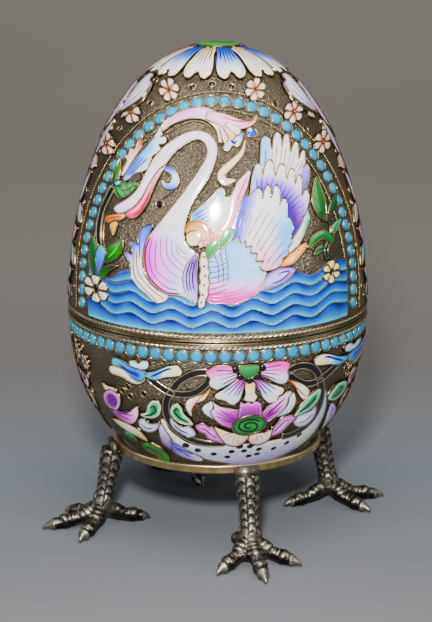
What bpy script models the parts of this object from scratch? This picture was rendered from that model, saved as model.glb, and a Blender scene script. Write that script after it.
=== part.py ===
"""A hollow cloisonne egg that opens at its waist, held by a metal ring on four cast bird's legs.

Metres, +Z up. The origin is on the floor under the middle of the egg, and the picture faces -Y.
"""

from math import cos, hypot, pi, radians, sin

import bmesh
import bpy
from mathutils import Matrix, Vector

# Egg
EGG_RADIUS = 0.03515
EGG_TOP = 0.11492
EGG_WAIST = 0.05545
EGG_BOTTOM = 0.0123
UPPER_POWER = 1.873
UPPER_ROOT_POWER = 2.145
LOWER_POWER = 2.45
LOWER_ROOT_POWER = 2.0
WALL = 0.0012

# Opening at the waist
SEAM_DROP = 0.0018
RIM_HEIGHT = 0.00035
RIM_OUT = 0.00055
LIP_HEIGHT = 0.0026
LIP_WALL = 0.0008
LIP_DEPTH = 0.0026
ROPE_RADIUS = 0.00045
GAP = 0.0003

# Relief on the shells
RELIEF = 0.0006
RELIEF_STEP = 0.00025
BEAD_RADIUS = 0.0013
BEAD_RISE = 0.00065
BEAD_DROP = 0.00315
WAIST_BEADS = 70
ARCH_PITCH = 0.00305
ARCH_HALF_WIDTH = 0.031
ARCH_TOP_DROP = 0.01032
PANEL_MARGIN = 0.00035
ARCH_BAND = 0.0027
CROWN_DISC = 0.0052
CROWN_REACH = 0.016
CROWN_PETALS = 12
CROWN_TURN = 2.4

# Stand
RING_TOP = 0.02145
RING_HEIGHT = 0.0019
RING_WALL = 0.0015
RING_BEVEL = 0.00025
TAB_WIDTH = 0.0056
TAB_HEIGHT = 0.0023
TAB_THICK = 0.0014
TAB_OVERLAP = 0.0011
LEG_TURN = 15.0
LEG_COUNT = 4
SHANK_RADIUS = 0.0026
SHANK_INSET = 0.001
ANKLE_RADIUS = 0.0021
ANKLE_HEIGHT = 0.0062
ANKLE_LEAN = 0.0026
TOE_RADIUS = 0.0017
FRONT_TOE = 0.0150
FRONT_TOE_TURN = -2.0
SIDE_TOE = 0.0128
SIDE_TOE_TURN = 52.0
HIND_TOE = 0.0118
HIND_TOE_TURN = 183.0

# Faces round and up the shells, and drawing units in half an arch's width and in its height
STEPS = 30
LID_ROWS = 9
CUP_ROWS = 7
INNER_ROWS = 4
GRID_COLUMNS = 31.0
GRID_ROWS = 48.6


def seam():
    """Height of the seam between the two shells, a little under the egg's widest place."""
    return EGG_WAIST - SEAM_DROP


def rope_seat():
    """How far from the seam each rope's seat starts and ends."""
    start = 0.5 * GAP + RIM_HEIGHT
    return start, start + 2.0 * (ROPE_RADIUS + GAP)


def drawing_point(across, up):
    """Place in a panel's front view of a point in drawing units, across from the middle and up."""
    foot = seam() + rope_seat()[1] + PANEL_MARGIN
    height = EGG_TOP - ARCH_TOP_DROP - foot
    return across * ARCH_HALF_WIDTH / GRID_COLUMNS, foot + up * height / GRID_ROWS


def egg_radius(height):
    """Radius of the egg's outside at a height."""
    if height >= EGG_WAIST:
        share = min(1.0, (height - EGG_WAIST) / (EGG_TOP - EGG_WAIST))
        return EGG_RADIUS * (1.0 - share ** UPPER_POWER) ** (1.0 / UPPER_ROOT_POWER)
    share = min(1.0, (EGG_WAIST - height) / (EGG_WAIST - EGG_BOTTOM))
    return EGG_RADIUS * (1.0 - share ** LOWER_POWER) ** (1.0 / LOWER_ROOT_POWER)


def egg_section(grow, start, rows, upper):
    """Outline points from a height to the pole, moved out of the egg's surface by grow."""
    pole = EGG_TOP if upper else EGG_BOTTOM
    reach = pole - EGG_WAIST
    first = (start - EGG_WAIST) / reach
    points = []
    for row in range(rows):
        share = first + (1.0 - first) * sin(0.5 * pi * row / rows)
        height = EGG_WAIST + reach * share
        step = 0.0001
        slope = (egg_radius(height + step) - egg_radius(height - step)) / (2.0 * step)
        length = hypot(1.0, slope)
        points.append((egg_radius(height) + grow / length, height - grow * slope / length))
    points.append((0.0, pole + (grow if upper else -grow)))
    return points


def surface_frame(across, height, turn):
    """Place and outward direction on the egg, from the front view of a panel that faces turn."""
    radius = egg_radius(height)
    depth = max(0.0, radius * radius - across * across) ** 0.5
    step = 0.0001
    slope = (egg_radius(height + step) - egg_radius(height - step)) / (2.0 * step)
    normal = Vector((across / radius, -depth / radius, -slope)).normalized()
    spin = Matrix.Rotation(turn, 3, "Z")
    return spin @ Vector((across, -depth, height)), spin @ normal


def turned(outline, steps=STEPS):
    """Closed mesh of a section outline turned round Z; its points with no radius are on the axis."""
    mesh = bmesh.new()
    rings = []
    for radius, height in outline:
        if radius < 1e-7:
            rings.append([mesh.verts.new((0.0, 0.0, height))])
            continue
        turns = [2.0 * pi * step / steps for step in range(steps)]
        rings.append([mesh.verts.new((radius * cos(t), radius * sin(t), height)) for t in turns])
    for near, far in zip(rings, rings[1:] + rings[:1]):
        if len(near) == 1 and len(far) == 1:
            continue
        for step in range(steps):
            after = (step + 1) % steps
            corners = [near[step % len(near)], near[after % len(near)],
                       far[after % len(far)], far[step % len(far)]]
            mesh.faces.new(list(dict.fromkeys(corners)))
    bmesh.ops.recalc_face_normals(mesh, faces=mesh.faces)
    return mesh


def prism(outline, start, end):
    """Closed mesh between two copies of a closed outline, each made by a function of its points."""
    mesh = bmesh.new()
    low = [mesh.verts.new(start(point)) for point in outline]
    high = [mesh.verts.new(end(point)) for point in outline]
    mesh.faces.new(low)
    mesh.faces.new(high)
    for index in range(len(outline)):
        after = (index + 1) % len(outline)
        mesh.faces.new((low[index], low[after], high[after], high[index]))
    bmesh.ops.recalc_face_normals(mesh, faces=mesh.faces)
    return mesh


def limb(places, radii, sides=6):
    """Closed tube through places, with a radius at each, kept above the floor with flat soles."""
    mesh = bmesh.new()
    rings = []
    for index, place in enumerate(places):
        ahead = places[min(index + 1, len(places) - 1)] - places[max(index - 1, 0)]
        side = ahead.cross(Vector((0.0, 0.0, 1.0)))
        if side.length < 0.1 * ahead.length:
            side = Vector((0.0, 1.0, 0.0))
        side.normalize()
        rise = side.cross(ahead).normalized()
        ring = []
        for step in range(sides):
            turn = 2.0 * pi * step / sides
            point = place + radii[index] * (side * cos(turn) + rise * sin(turn))
            point.z = max(point.z, 0.0)
            ring.append(mesh.verts.new(point))
        rings.append(ring)
    for near, far in zip(rings, rings[1:]):
        for step in range(sides):
            after = (step + 1) % sides
            mesh.faces.new((near[step], near[after], far[after], far[step]))
    mesh.faces.new(rings[0])
    mesh.faces.new(rings[-1])
    bmesh.ops.recalc_face_normals(mesh, faces=mesh.faces)
    return mesh


def box(low, high):
    """Closed box between two corners."""
    mesh = bmesh.new()
    size = [high[axis] - low[axis] for axis in range(3)]
    middle = [0.5 * (high[axis] + low[axis]) for axis in range(3)]
    bmesh.ops.create_cube(mesh, size=1.0, matrix=Matrix.LocRotScale(middle, None, size))
    return mesh


def as_object(name, mesh):
    """Object made from a bmesh, which is freed."""
    data = bpy.data.meshes.new(name)
    mesh.to_mesh(data)
    mesh.free()
    piece = bpy.data.objects.new(name, data)
    bpy.context.scene.collection.objects.link(piece)
    return piece


def combine(piece, mesh, operation):
    """Boolean of a piece with a bmesh, which is used up."""
    tool = as_object("tool", mesh)
    step = piece.modifiers.new(operation, "BOOLEAN")
    step.operation = operation
    step.solver = "EXACT"
    step.object = tool
    view = bpy.context.evaluated_depsgraph_get()
    done = bpy.data.meshes.new_from_object(piece.evaluated_get(view))
    piece.modifiers.clear()
    piece.data = done
    bpy.data.objects.remove(tool)


def joined(meshes):
    """One bmesh holding several that don't touch."""
    whole = bmesh.new()
    for mesh in meshes:
        data = bpy.data.meshes.new("share")
        mesh.to_mesh(data)
        mesh.free()
        whole.from_mesh(data)
        bpy.data.meshes.remove(data)
    return whole


def ribbon(middle, widths):
    """Outline of a band that follows middle, with a half width at each of its points."""
    left = []
    right = []
    for index, (x, y) in enumerate(middle):
        x0, y0 = middle[max(index - 1, 0)]
        x1, y1 = middle[min(index + 1, len(middle) - 1)]
        length = hypot(x1 - x0, y1 - y0)
        out_x = -(y1 - y0) / length * widths[index]
        out_y = (x1 - x0) / length * widths[index]
        left.append((x + out_x, y + out_y))
        right.append((x - out_x, y - out_y))
    return left + right[::-1]


def leaf(root, tip, width):
    """Outline of a pointed leaf or feather."""
    along = Vector(tip) - Vector(root)
    side = Vector((-along.y, along.x)).normalized() * 0.5 * width
    stations = ((0.0, 0.3), (0.35, 0.9), (0.75, 0.9), (1.0, 0.0), (0.75, -0.9), (0.35, -0.9), (0.0, -0.3))
    return [Vector(root) + along * share + side * half for share, half in stations]


def fan(root, first, last, long, short, feathers):
    """Outline of a wing tier: feathers spread from root, each with a round tip."""
    outline = [root]
    for feather in range(feathers):
        share = feather / (feathers - 1)
        reach = long + (short - long) * share ** 1.6
        half = 0.5 * (last - first) / feathers
        middle = first + half * (2 * feather + 1)
        for shift, part in ((-1.0, 0.88), (-0.45, 0.98), (0.45, 0.98)):
            turn = radians(middle + shift * half)
            outline.append((root[0] + reach * part * cos(turn), root[1] + reach * part * sin(turn)))
    turn = radians(last)
    outline.append((root[0] + short * 0.88 * cos(turn), root[1] + short * 0.88 * sin(turn)))
    return outline


def flower(middle, radius, petals=6, start=0.0):
    """Outline of a flower with round petals, the first one turned by start degrees."""
    outline = []
    for step in range(2 * petals):
        turn = radians(start) + pi * (step - 0.5) / petals
        reach = radius * (1.0 if step % 2 else 0.74)
        outline.append((middle[0] + reach * cos(turn), middle[1] + reach * sin(turn)))
    return outline


def disc(middle, radius, sides=10):
    """Outline of a round boss."""
    turns = [2.0 * pi * (side + 0.3) / sides for side in range(sides)]
    return [(middle[0] + radius * cos(t), middle[1] + radius * sin(t)) for t in turns]


def water():
    """Outline of the water: its top edge is scalloped and climbs at both sides."""
    half = 0.93 * GRID_COLUMNS
    scallops = 8
    top = []
    for step in range(2 * scallops + 1):
        across = half * (1.0 - step / scallops)
        crest = 0.5 if step % 2 else -0.5
        top.append((across, 5.6 + 4.6 * abs(across / half) ** 3 + crest))
    return [(-half, 0.6), (half, 0.6)] + top


def swan():
    """Outlines of the swan, each with its step above the lowest relief."""
    neck = ((-25.0, 20.6), (-22.6, 24.8), (-18.0, 27.4), (-13.8, 33.0), (-10.6, 37.4), (-5.4, 41.2),
            (-1.7, 39.4), (-2.0, 35.0), (-7.0, 28.4), (-10.4, 21.0))
    widths = (0.3, 1.3, 1.8, 1.5, 1.2, 1.0, 1.0, 1.2, 2.4, 4.4)
    body = ((-14.6, 22.4), (-16.0, 16.4), (-14.2, 10.4), (-8.4, 7.0), (0.0, 6.4), (8.0, 8.2),
            (17.6, 12.6), (19.4, 18.8), (8.0, 22.0), (-2.0, 24.5), (-8.0, 26.0))
    root = (4.5, 15.5)
    return [
        (ribbon(neck, widths), 0),
        (body, 0),
        (leaf((-5.5, 21.0), (2.6, 30.0), 4.4), 0),
        (fan(root, 86.0, 6.0, 26.0, 15.0, 6), 0),
        (fan(root, 84.0, -2.0, 20.5, 12.5, 5), 1),
        (fan(root, 88.0, -10.0, 15.0, 8.6, 4), 2),
        (water(), 0),
    ]


def back_garden():
    """Outlines of the plainer picture on the back: a flower over water in a plain arch."""
    arch = arch_path(20)
    half = 0.5 * ARCH_BAND / ARCH_HALF_WIDTH * GRID_COLUMNS
    middle = (0.0, 25.0)
    return [
        (flower(middle, 10.0), 0),
        (disc(middle, 3.0), 1),
        (water(), 0),
        (ribbon(arch, [half] * len(arch)), 0),
    ]


def arch_path(steps):
    """Points along the middle of the arch's band, in drawing units."""
    spring = 4.0
    half = pi * 0.5
    path = [(-GRID_COLUMNS, 1.2)]
    for step in range(steps + 1):
        turn = -half + pi * step / steps
        rise = spring + (GRID_ROWS - spring) * cos(turn)
        path.append((GRID_COLUMNS * sin(turn), rise))
    path.append((GRID_COLUMNS, 1.2))
    return path


def lower_garden():
    """Outlines of the half flower, lotus and crescent on the cup, below the arch's foot."""
    crescent = ((-12.4, -15.5), (-9.6, -22.0), (-2.0, -28.0), (7.0, -29.7), (15.6, -27.4), (21.0, -22.0),
                (23.4, -15.0))
    return [
        (fan((6.7, -9.0), 352.0, 188.0, 7.0, 7.0, 5), 0),
        (fan((7.4, -23.8), -4.0, 184.0, 9.0, 9.0, 5), 0),
        (ribbon(crescent, (0.7, 1.7, 1.9, 1.9, 1.9, 1.7, 0.7)), 0),
    ]


def panel_prism(outline, turn):
    """Prism of an outline drawn on a panel that faces turn, reaching into the egg."""
    spin = Matrix.Rotation(turn, 3, "Z")

    def at(point, depth):
        across, height = drawing_point(*point)
        return spin @ Vector((across, depth, height))

    return prism(outline, lambda p: at(p, -1.5 * EGG_RADIUS), lambda p: at(p, -0.12 * EGG_RADIUS))


def add_panel(piece, outlines, turn):
    """Raise a panel's outlines out of a shell."""
    raise_relief(piece, [(panel_prism(outline, turn), step) for outline, step in outlines])


def raise_relief(piece, prisms):
    """Join prisms to a shell, each cut off at the height of its step above the ground."""
    for level in sorted({step for _, step in prisms}):
        chosen = [mesh for mesh, step in prisms if step == level]
        plate = as_object("plate", chosen[0])
        for mesh in chosen[1:]:
            combine(plate, mesh, "UNION")
        combine(plate, whole_egg(RELIEF + level * RELIEF_STEP), "INTERSECT")
        combine(plate, whole_egg(-0.5 * WALL + 0.5 * level * RELIEF_STEP), "DIFFERENCE")
        mesh = bmesh.new()
        mesh.from_mesh(plate.data)
        bpy.data.objects.remove(plate)
        combine(piece, mesh, "UNION")


def whole_egg(grow):
    """Solid egg, larger than the real one by grow all over."""
    upper = egg_section(grow, EGG_WAIST, LID_ROWS, True)
    lower = egg_section(grow, EGG_WAIST, CUP_ROWS, False)
    return turned(lower[::-1] + upper[1:])


def bead(place, normal, sides=6):
    """Disc of enamel in its wire ring, sunk a little in the shell."""
    spin = normal.to_track_quat("Z", "Y").to_matrix()
    turns = [2.0 * pi * side / sides for side in range(sides)]
    foot = [(BEAD_RADIUS * cos(t), BEAD_RADIUS * sin(t)) for t in turns]
    depth = 0.5 * WALL
    return prism(foot, lambda p: place + spin @ Vector((p[0], p[1], -depth)),
                 lambda p: place + spin @ Vector((0.82 * p[0], 0.82 * p[1], BEAD_RISE)))


def arch_beads():
    """Beads along the front arch, one pitch apart on the egg's surface."""
    places = [surface_frame(*drawing_point(x, y), 0.0) for x, y in arch_path(400)]
    length = sum((b[0] - a[0]).length for a, b in zip(places, places[1:]))
    count = int(length / ARCH_PITCH)
    pitch = length / count
    walked = 0.0
    beads = [bead(*places[0])]
    for a, b in zip(places, places[1:]):
        walked += (b[0] - a[0]).length
        if walked >= pitch * len(beads) and len(beads) <= count:
            beads.append(bead(*b))
    return joined(beads)


def waist_beads():
    """Beads in a row round the cup, under its rope."""
    height = seam() - BEAD_DROP
    beads = []
    for index in range(WAIST_BEADS):
        beads.append(bead(*surface_frame(0.0, height, 2.0 * pi * index / WAIST_BEADS)))
    return joined(beads)


def crown():
    """Rosette round the top of the lid, seen from above, with its round middle a step higher."""
    return [(flower((0.0, 0.0), CROWN_REACH, CROWN_PETALS, CROWN_TURN), 0), (disc((0.0, 0.0), CROWN_DISC), 1)]


def make_lid():
    """Upper shell with its rim, open below."""
    low = seam() + 0.5 * GAP
    rim_top, seat = (seam() + shift for shift in rope_seat())
    seat_radius = rope_middle() - ROPE_RADIUS - GAP
    outer = egg_section(0.0, seat, LID_ROWS, True)
    inner = egg_section(-WALL, EGG_WAIST, INNER_ROWS, True)
    inside = EGG_RADIUS - WALL
    section = [(inside, low), (EGG_RADIUS + RIM_OUT, low), (EGG_RADIUS + RIM_OUT, rim_top),
               (seat_radius, rim_top), (seat_radius, seat)] + outer + inner[::-1]
    lid = as_object("egg_lid", turned(section))
    add_panel(lid, swan(), 0.0)
    add_panel(lid, back_garden(), pi)
    low_crown = 0.5 * (EGG_WAIST + EGG_TOP)
    raise_relief(lid, [(prism(outline, lambda p: Vector((p[0], p[1], low_crown)),
                              lambda p: Vector((p[0], p[1], 1.2 * EGG_TOP))), step)
                       for outline, step in crown()])
    combine(lid, arch_beads(), "UNION")
    return lid


def make_cup():
    """Lower shell with its rim, the lip that the lid fits over and the row of beads."""
    high = seam() - 0.5 * GAP
    rim_low, seat = (seam() - shift for shift in rope_seat())
    seat_radius = rope_middle() - ROPE_RADIUS - GAP
    bed = seam() - BEAD_DROP - BEAD_RADIUS - GAP
    outer = [(egg_radius(seat), seat)] + egg_section(0.0, bed, CUP_ROWS, False)
    inner = egg_section(-WALL, high - 1.6 * LIP_DEPTH, INNER_ROWS, False)
    lip = EGG_RADIUS - WALL - GAP
    section = [(lip - LIP_WALL, high + LIP_HEIGHT), (lip, high + LIP_HEIGHT), (lip, high),
               (EGG_RADIUS + RIM_OUT, high), (EGG_RADIUS + RIM_OUT, rim_low), (seat_radius, rim_low),
               (seat_radius, seat)] + outer + inner[::-1] + [(lip - LIP_WALL, high - LIP_DEPTH)]
    cup = as_object("egg_cup", turned(section))
    add_panel(cup, lower_garden(), 0.0)
    add_panel(cup, lower_garden()[:2], pi)
    combine(cup, waist_beads(), "UNION")
    return cup


def rope_middle():
    """Distance of a rope's middle from the axis, which lets it stand a little proud of the rims."""
    return EGG_RADIUS + RIM_OUT - ROPE_RADIUS + 0.5 * GAP


def make_rope(name, height, sides=5):
    """Round wire laid in its seat beside a rim."""
    turns = [2.0 * pi * side / sides for side in range(sides)]
    section = [(rope_middle() + ROPE_RADIUS * cos(t), height + ROPE_RADIUS * sin(t)) for t in turns]
    return as_object(name, turned(section))


def ring_inner():
    """Inner radius of the stand's ring, which takes the egg just inside its top edge."""
    return egg_radius(RING_TOP) + GAP


def make_ring():
    """Band of the stand, with its upper edge bevelled outside."""
    inner = ring_inner()
    outer = inner + RING_WALL
    low = RING_TOP - RING_HEIGHT
    section = [(inner, low), (outer, low), (outer, RING_TOP - RING_BEVEL), (outer - RING_BEVEL, RING_TOP),
               (inner, RING_TOP)]
    return as_object("stand_ring", turned(section))


def toe(ankle, reach, turn):
    """One toe: it leaves the ankle, bends to the floor over two knuckles and ends in a claw."""
    ahead = Vector((cos(turn), sin(turn), 0.0))
    stations = ((-0.11, 0.1, 0.9), (0.3, -0.46, 0.94), (0.62, -0.74, 1.12), (0.84, -0.84, 0.7),
                (1.0, -0.94, 0.3))
    places = [ankle + ahead * reach * out + Vector((0.0, 0.0, ankle.z * drop)) for out, drop, _ in stations]
    return limb(places, [TOE_RADIUS * thick for _, _, thick in stations])


def make_leg(name, turn):
    """One cast leg with its foot and the tab that lies against the ring."""
    outer = ring_inner() + RING_WALL
    low = RING_TOP - RING_HEIGHT
    top = Vector((0.0, 0.0, low - GAP))
    ankle = Vector((ANKLE_LEAN, 0.0, ANKLE_HEIGHT))
    shares = ((0.0, 1.0), (0.45, 0.92), (0.85, ANKLE_RADIUS / SHANK_RADIUS), (1.14, 0.9))
    places = [top.lerp(ankle, share) for share, _ in shares]
    leg = as_object(name, limb(places, [SHANK_RADIUS * thick for _, thick in shares]))
    face = GAP - SHANK_INSET
    tab_low = (face, -0.5 * TAB_WIDTH, top.z - TAB_OVERLAP)
    tab_high = (face + TAB_THICK, 0.5 * TAB_WIDTH, low + 0.5 * (RING_HEIGHT + TAB_HEIGHT) - GAP)
    combine(leg, box(tab_low, tab_high), "UNION")
    root = ankle - Vector((0.0, 0.0, 0.15 * ankle.z))
    for reach, way in ((FRONT_TOE, FRONT_TOE_TURN), (SIDE_TOE, SIDE_TOE_TURN), (SIDE_TOE, -SIDE_TOE_TURN),
                       (HIND_TOE, HIND_TOE_TURN)):
        combine(leg, toe(root, reach, radians(way)), "UNION")
    spin = turn - 0.5 * pi
    leg.location = Matrix.Rotation(spin, 3, "Z") @ Vector((outer + SHANK_INSET, 0.0, 0.0))
    leg.rotation_euler = (0.0, 0.0, spin)
    return leg


def finish(piece, colour, metallic, roughness):
    """Give a piece its material, and shade it smooth but for its sharp edges."""
    material = bpy.data.materials.new(piece.name)
    material.use_nodes = True
    shader = material.node_tree.nodes["Principled BSDF"]
    shader.inputs["Base Color"].default_value = (*colour, 1.0)
    shader.inputs["Metallic"].default_value = metallic
    shader.inputs["Roughness"].default_value = roughness
    piece.data.materials.clear()
    piece.data.materials.append(material)
    piece.data.shade_smooth()
    piece.data.set_sharp_from_angle(angle=radians(35.0))


def main():
    """Build the egg and its stand."""
    for old in list(bpy.data.objects):
        bpy.data.objects.remove(old)
    rope_shift = 0.5 * sum(rope_seat())
    finish(make_lid(), (0.20, 0.36, 0.55), 0.3, 0.3)
    finish(make_rope("lid_rope", seam() + rope_shift), (0.62, 0.57, 0.46), 1.0, 0.3)
    finish(make_cup(), (0.42, 0.36, 0.48), 0.3, 0.3)
    finish(make_rope("cup_rope", seam() - rope_shift), (0.62, 0.57, 0.46), 1.0, 0.3)
    finish(make_ring(), (0.55, 0.46, 0.28), 1.0, 0.25)
    for index, side in enumerate(("front", "right", "back", "left")):
        turn = radians(LEG_TURN + 360.0 / LEG_COUNT * index)
        finish(make_leg("leg_" + side, turn), (0.33, 0.31, 0.28), 1.0, 0.38)


main()
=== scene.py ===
from math import acos, atan2, cos, exp, hypot, pi, radians, sin, sqrt
from random import Random

import bmesh
import bpy
import numpy as np
from mathutils import Matrix, Vector, noise
from mathutils.geometry import delaunay_2d_cdt


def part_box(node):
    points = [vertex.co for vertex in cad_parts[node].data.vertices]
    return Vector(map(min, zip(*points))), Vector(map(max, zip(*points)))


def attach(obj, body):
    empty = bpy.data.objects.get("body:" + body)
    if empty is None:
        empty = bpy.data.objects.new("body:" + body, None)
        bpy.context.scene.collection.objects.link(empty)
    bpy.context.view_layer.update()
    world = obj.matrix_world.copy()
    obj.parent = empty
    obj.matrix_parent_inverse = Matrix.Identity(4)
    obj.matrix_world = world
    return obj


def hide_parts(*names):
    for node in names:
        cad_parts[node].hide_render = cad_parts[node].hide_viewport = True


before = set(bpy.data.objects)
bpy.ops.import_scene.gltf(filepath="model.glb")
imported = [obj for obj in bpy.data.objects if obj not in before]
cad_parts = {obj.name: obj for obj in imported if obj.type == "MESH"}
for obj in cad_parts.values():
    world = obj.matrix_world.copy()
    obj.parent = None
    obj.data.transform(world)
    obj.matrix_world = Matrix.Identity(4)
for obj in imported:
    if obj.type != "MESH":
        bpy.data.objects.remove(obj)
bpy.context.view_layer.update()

MM = 0.001


def side(node, corner, axis):
    """One side of a node's box in millimetres; corner is 0 for the low and 1 for the high one."""
    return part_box(node)[corner][axis] / MM


# The egg's profile in millimetres, from the frame.
RELIEF_TOP = 0.85
RIM_OUT = 0.55
WAIST_RISE = 1.65
EGG_TOP = side("egg_lid", 1, 2) - RELIEF_TOP
EGG_BOTTOM = side("egg_cup", 0, 2)
EGG_RADIUS = side("egg_lid", 1, 0) - RIM_OUT
LID_LOW = side("egg_lid", 0, 2)
CUP_HIGH = side("egg_cup", 1, 2)
EGG_WAIST = LID_LOW + WAIST_RISE
GAP = 0.3
SEAM = LID_LOW - 0.5 * GAP
UPPER_POWER, UPPER_ROOT = 1.873, 2.145
LOWER_POWER, LOWER_ROOT = 2.45, 2.0
WALL = 1.2
LIP_WALL = 0.8
LIP_DEPTH = 2.6
LID_ROPE = 0.5 * (side("lid_rope", 0, 2) + side("lid_rope", 1, 2))
CUP_ROPE = 0.5 * (side("cup_rope", 0, 2) + side("cup_rope", 1, 2))
ROPE_RADIUS = 0.5 * (side("cup_rope", 1, 2) - side("cup_rope", 0, 2))
ROPE_RING = side("cup_rope", 1, 0) - ROPE_RADIUS

# The stand.
RING_LOW, RING_TOP = side("stand_ring", 0, 2), side("stand_ring", 1, 2)
RING_OUTER = side("stand_ring", 1, 0)
RING_INNER = RING_OUTER - 1.5
LEG_TURNS = {"leg_front": 15.0, "leg_right": 105.0, "leg_back": 195.0, "leg_left": 285.0}
SHANK_INSET = 1.0
SHANK_RADIUS, TOE_RADIUS = 2.6, 1.7
ANKLE_LEAN, ANKLE_HEIGHT = 2.6, 6.2
TAB_WIDTH, TAB_HEIGHT, TAB_THICK, TAB_OVERLAP = 5.6, 2.3, 1.4, 1.1

# The rows of beads and the arch of each picture.
BEAD_ROW = SEAM - 3.15
WAIST_BEADS = 70
BEAD_RADIUS = 1.3
PANEL_FOOT = SEAM + 2.35
ARCH_LOW = PANEL_FOOT + 4.0
ARCH_ACROSS = 31.0
ARCH_RISE = 44.6
ARCH_DRAWN = 60.0
ARCH_PITCH = 3.05
BORDER_WIRE = 1.75
CROWN_REACH = 16.0

dice = Random(7)


# Surfaces: every place on the egg is a point, with its outward normal, in millimetres.

def egg_radius(height):
    """Radius of the egg's metal at a height."""
    if height >= EGG_WAIST:
        share = min(1.0, (height - EGG_WAIST) / (EGG_TOP - EGG_WAIST))
        return EGG_RADIUS * (1.0 - share ** UPPER_POWER) ** (1.0 / UPPER_ROOT)
    share = min(1.0, (EGG_WAIST - height) / (EGG_WAIST - EGG_BOTTOM))
    return EGG_RADIUS * (1.0 - share ** LOWER_POWER) ** (1.0 / LOWER_ROOT)


def egg_height(radius):
    """Height at which the upper egg has a radius."""
    share = max(0.0, 1.0 - (radius / EGG_RADIUS) ** UPPER_ROOT) ** (1.0 / UPPER_POWER)
    return EGG_WAIST + share * (EGG_TOP - EGG_WAIST)


def meridian(height):
    """Radius at a height with the outward direction (out, up) of the surface there."""
    step = 0.02
    above, below = egg_radius(min(height + step, EGG_TOP)), egg_radius(max(height - step,
            EGG_BOTTOM))
    slope = (above - below) / (2.0 * step)
    length = sqrt(1.0 + slope * slope)
    return egg_radius(height), 1.0 / length, -slope / length


def polar(azimuth, height, lift=0.0):
    """Place at an angle round the egg (0 in front, to the right positive) and a height."""
    radius, out, up = meridian(height)
    reach = radius + lift * out
    return Vector((reach * sin(azimuth), -reach * cos(azimuth), height + lift * up))


def panel(turn):
    """Front view of the egg as seen from a side: (across, height) to a place."""
    def place(across, height, lift=0.0):
        radius = egg_radius(height)
        azimuth = turn + atan2(across, sqrt(max(radius * radius - across * across, 0.02)))
        return polar(azimuth, height, lift)
    return place


def wrap(turn):
    """Strip round the egg: (millimetres round at the waist, height) to a place."""
    def place(along, height, lift=0.0):
        return polar(turn + along / EGG_RADIUS, height, lift)
    return place


def from_above(across, back, lift=0.0):
    """Top view: (across, back) from the egg's tip to a place."""
    reach = max(hypot(across, back), 0.01)
    height = egg_height(reach)
    if reach < 1.0:
        return Vector((across, back, EGG_TOP - 0.02 * reach * reach + lift))
    return polar(atan2(across, -back), height, lift)


# Colours.

VIVID = 1.55
DEEPEN = 1.12


def linear(colour):
    """Screen colour (0 to 255) to linear light, with more colour against the film curve."""
    out = []
    for value in colour:
        value = min(max(value, 0.0), 255.0) / 255.0
        out.append((value / 12.92 if value <= 0.04045 else ((value + 0.055)
                        / 1.055) ** 2.4) ** DEEPEN)
    grey = 0.2126 * out[0] + 0.7152 * out[1] + 0.0722 * out[2]
    return [max(0.0015, grey + VIVID * (value - grey)) for value in out]


def blend(first, second, share):
    """Colour a share of the way from the first to the second."""
    share = min(max(share, 0.0), 1.0)
    return tuple(a + (b - a) * share for a, b in zip(first, second))


def ramp(stops, place):
    """Colour at a place along stops of (place, colour)."""
    if place <= stops[0][0]:
        return stops[0][1]
    for (low, first), (high, second) in zip(stops, stops[1:]):
        if place <= high:
            return blend(first, second, (place - low) / (high - low))
    return stops[-1][1]


def fade(*colours):
    """Stops with colours at even distances."""
    return [(index / (len(colours) - 1), colour) for index, colour in enumerate(colours)]


def same(colour):
    """Stops of a ribbon in one colour."""
    return [(0.0, colour, colour)]


SILVER, BRIGHT = (206, 192, 164), (238, 230, 210)
GILT = (178, 158, 116)
# Painted shade for the sides and feet of wires.
WIRE_SHADE = (44, 36, 28)


# Piles of faces that become one piece each.

class Pile:
    """Vertices, faces and a colour at each vertex, gathered for one piece."""

    def __init__(self):
        self.places, self.faces, self.tints = [], [], []

    def add(self, places, faces, tints):
        start = len(self.places)
        self.places.extend(places)
        self.faces.extend([start + index for index in face] for face in faces)
        if isinstance(tints, tuple):
            tints = [tints] * len(places)
        self.tints.extend(tints)

    def piece(self, name, material, slot, node=None):
        mesh = bpy.data.meshes.new(name)
        mesh.from_pydata([place * MM for place in self.places], [], self.faces)
        tint = mesh.color_attributes.new("tint", "FLOAT_COLOR", "POINT")
        kept = {}
        flat = []
        for colour in self.tints:
            if colour not in kept:
                kept[colour] = linear(colour) + [1.0]
            flat.extend(kept[colour])
        tint.data.foreach_set("color", flat)
        mesh.polygons.foreach_set("use_smooth", [True] * len(mesh.polygons))
        mesh.materials.append(material)
        mesh.update()
        return settle(bpy.data.objects.new(name, mesh), node)


def settle(thing, node=None):
    """Puts a piece in the scene on the root body, and hides the part of the node it stands for."""
    if thing.name not in bpy.context.scene.collection.objects:
        bpy.context.scene.collection.objects.link(thing)
    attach(thing, "root")
    if node:
        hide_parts(node)
    return thing


# Lines and outlines in the drawings.

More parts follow.
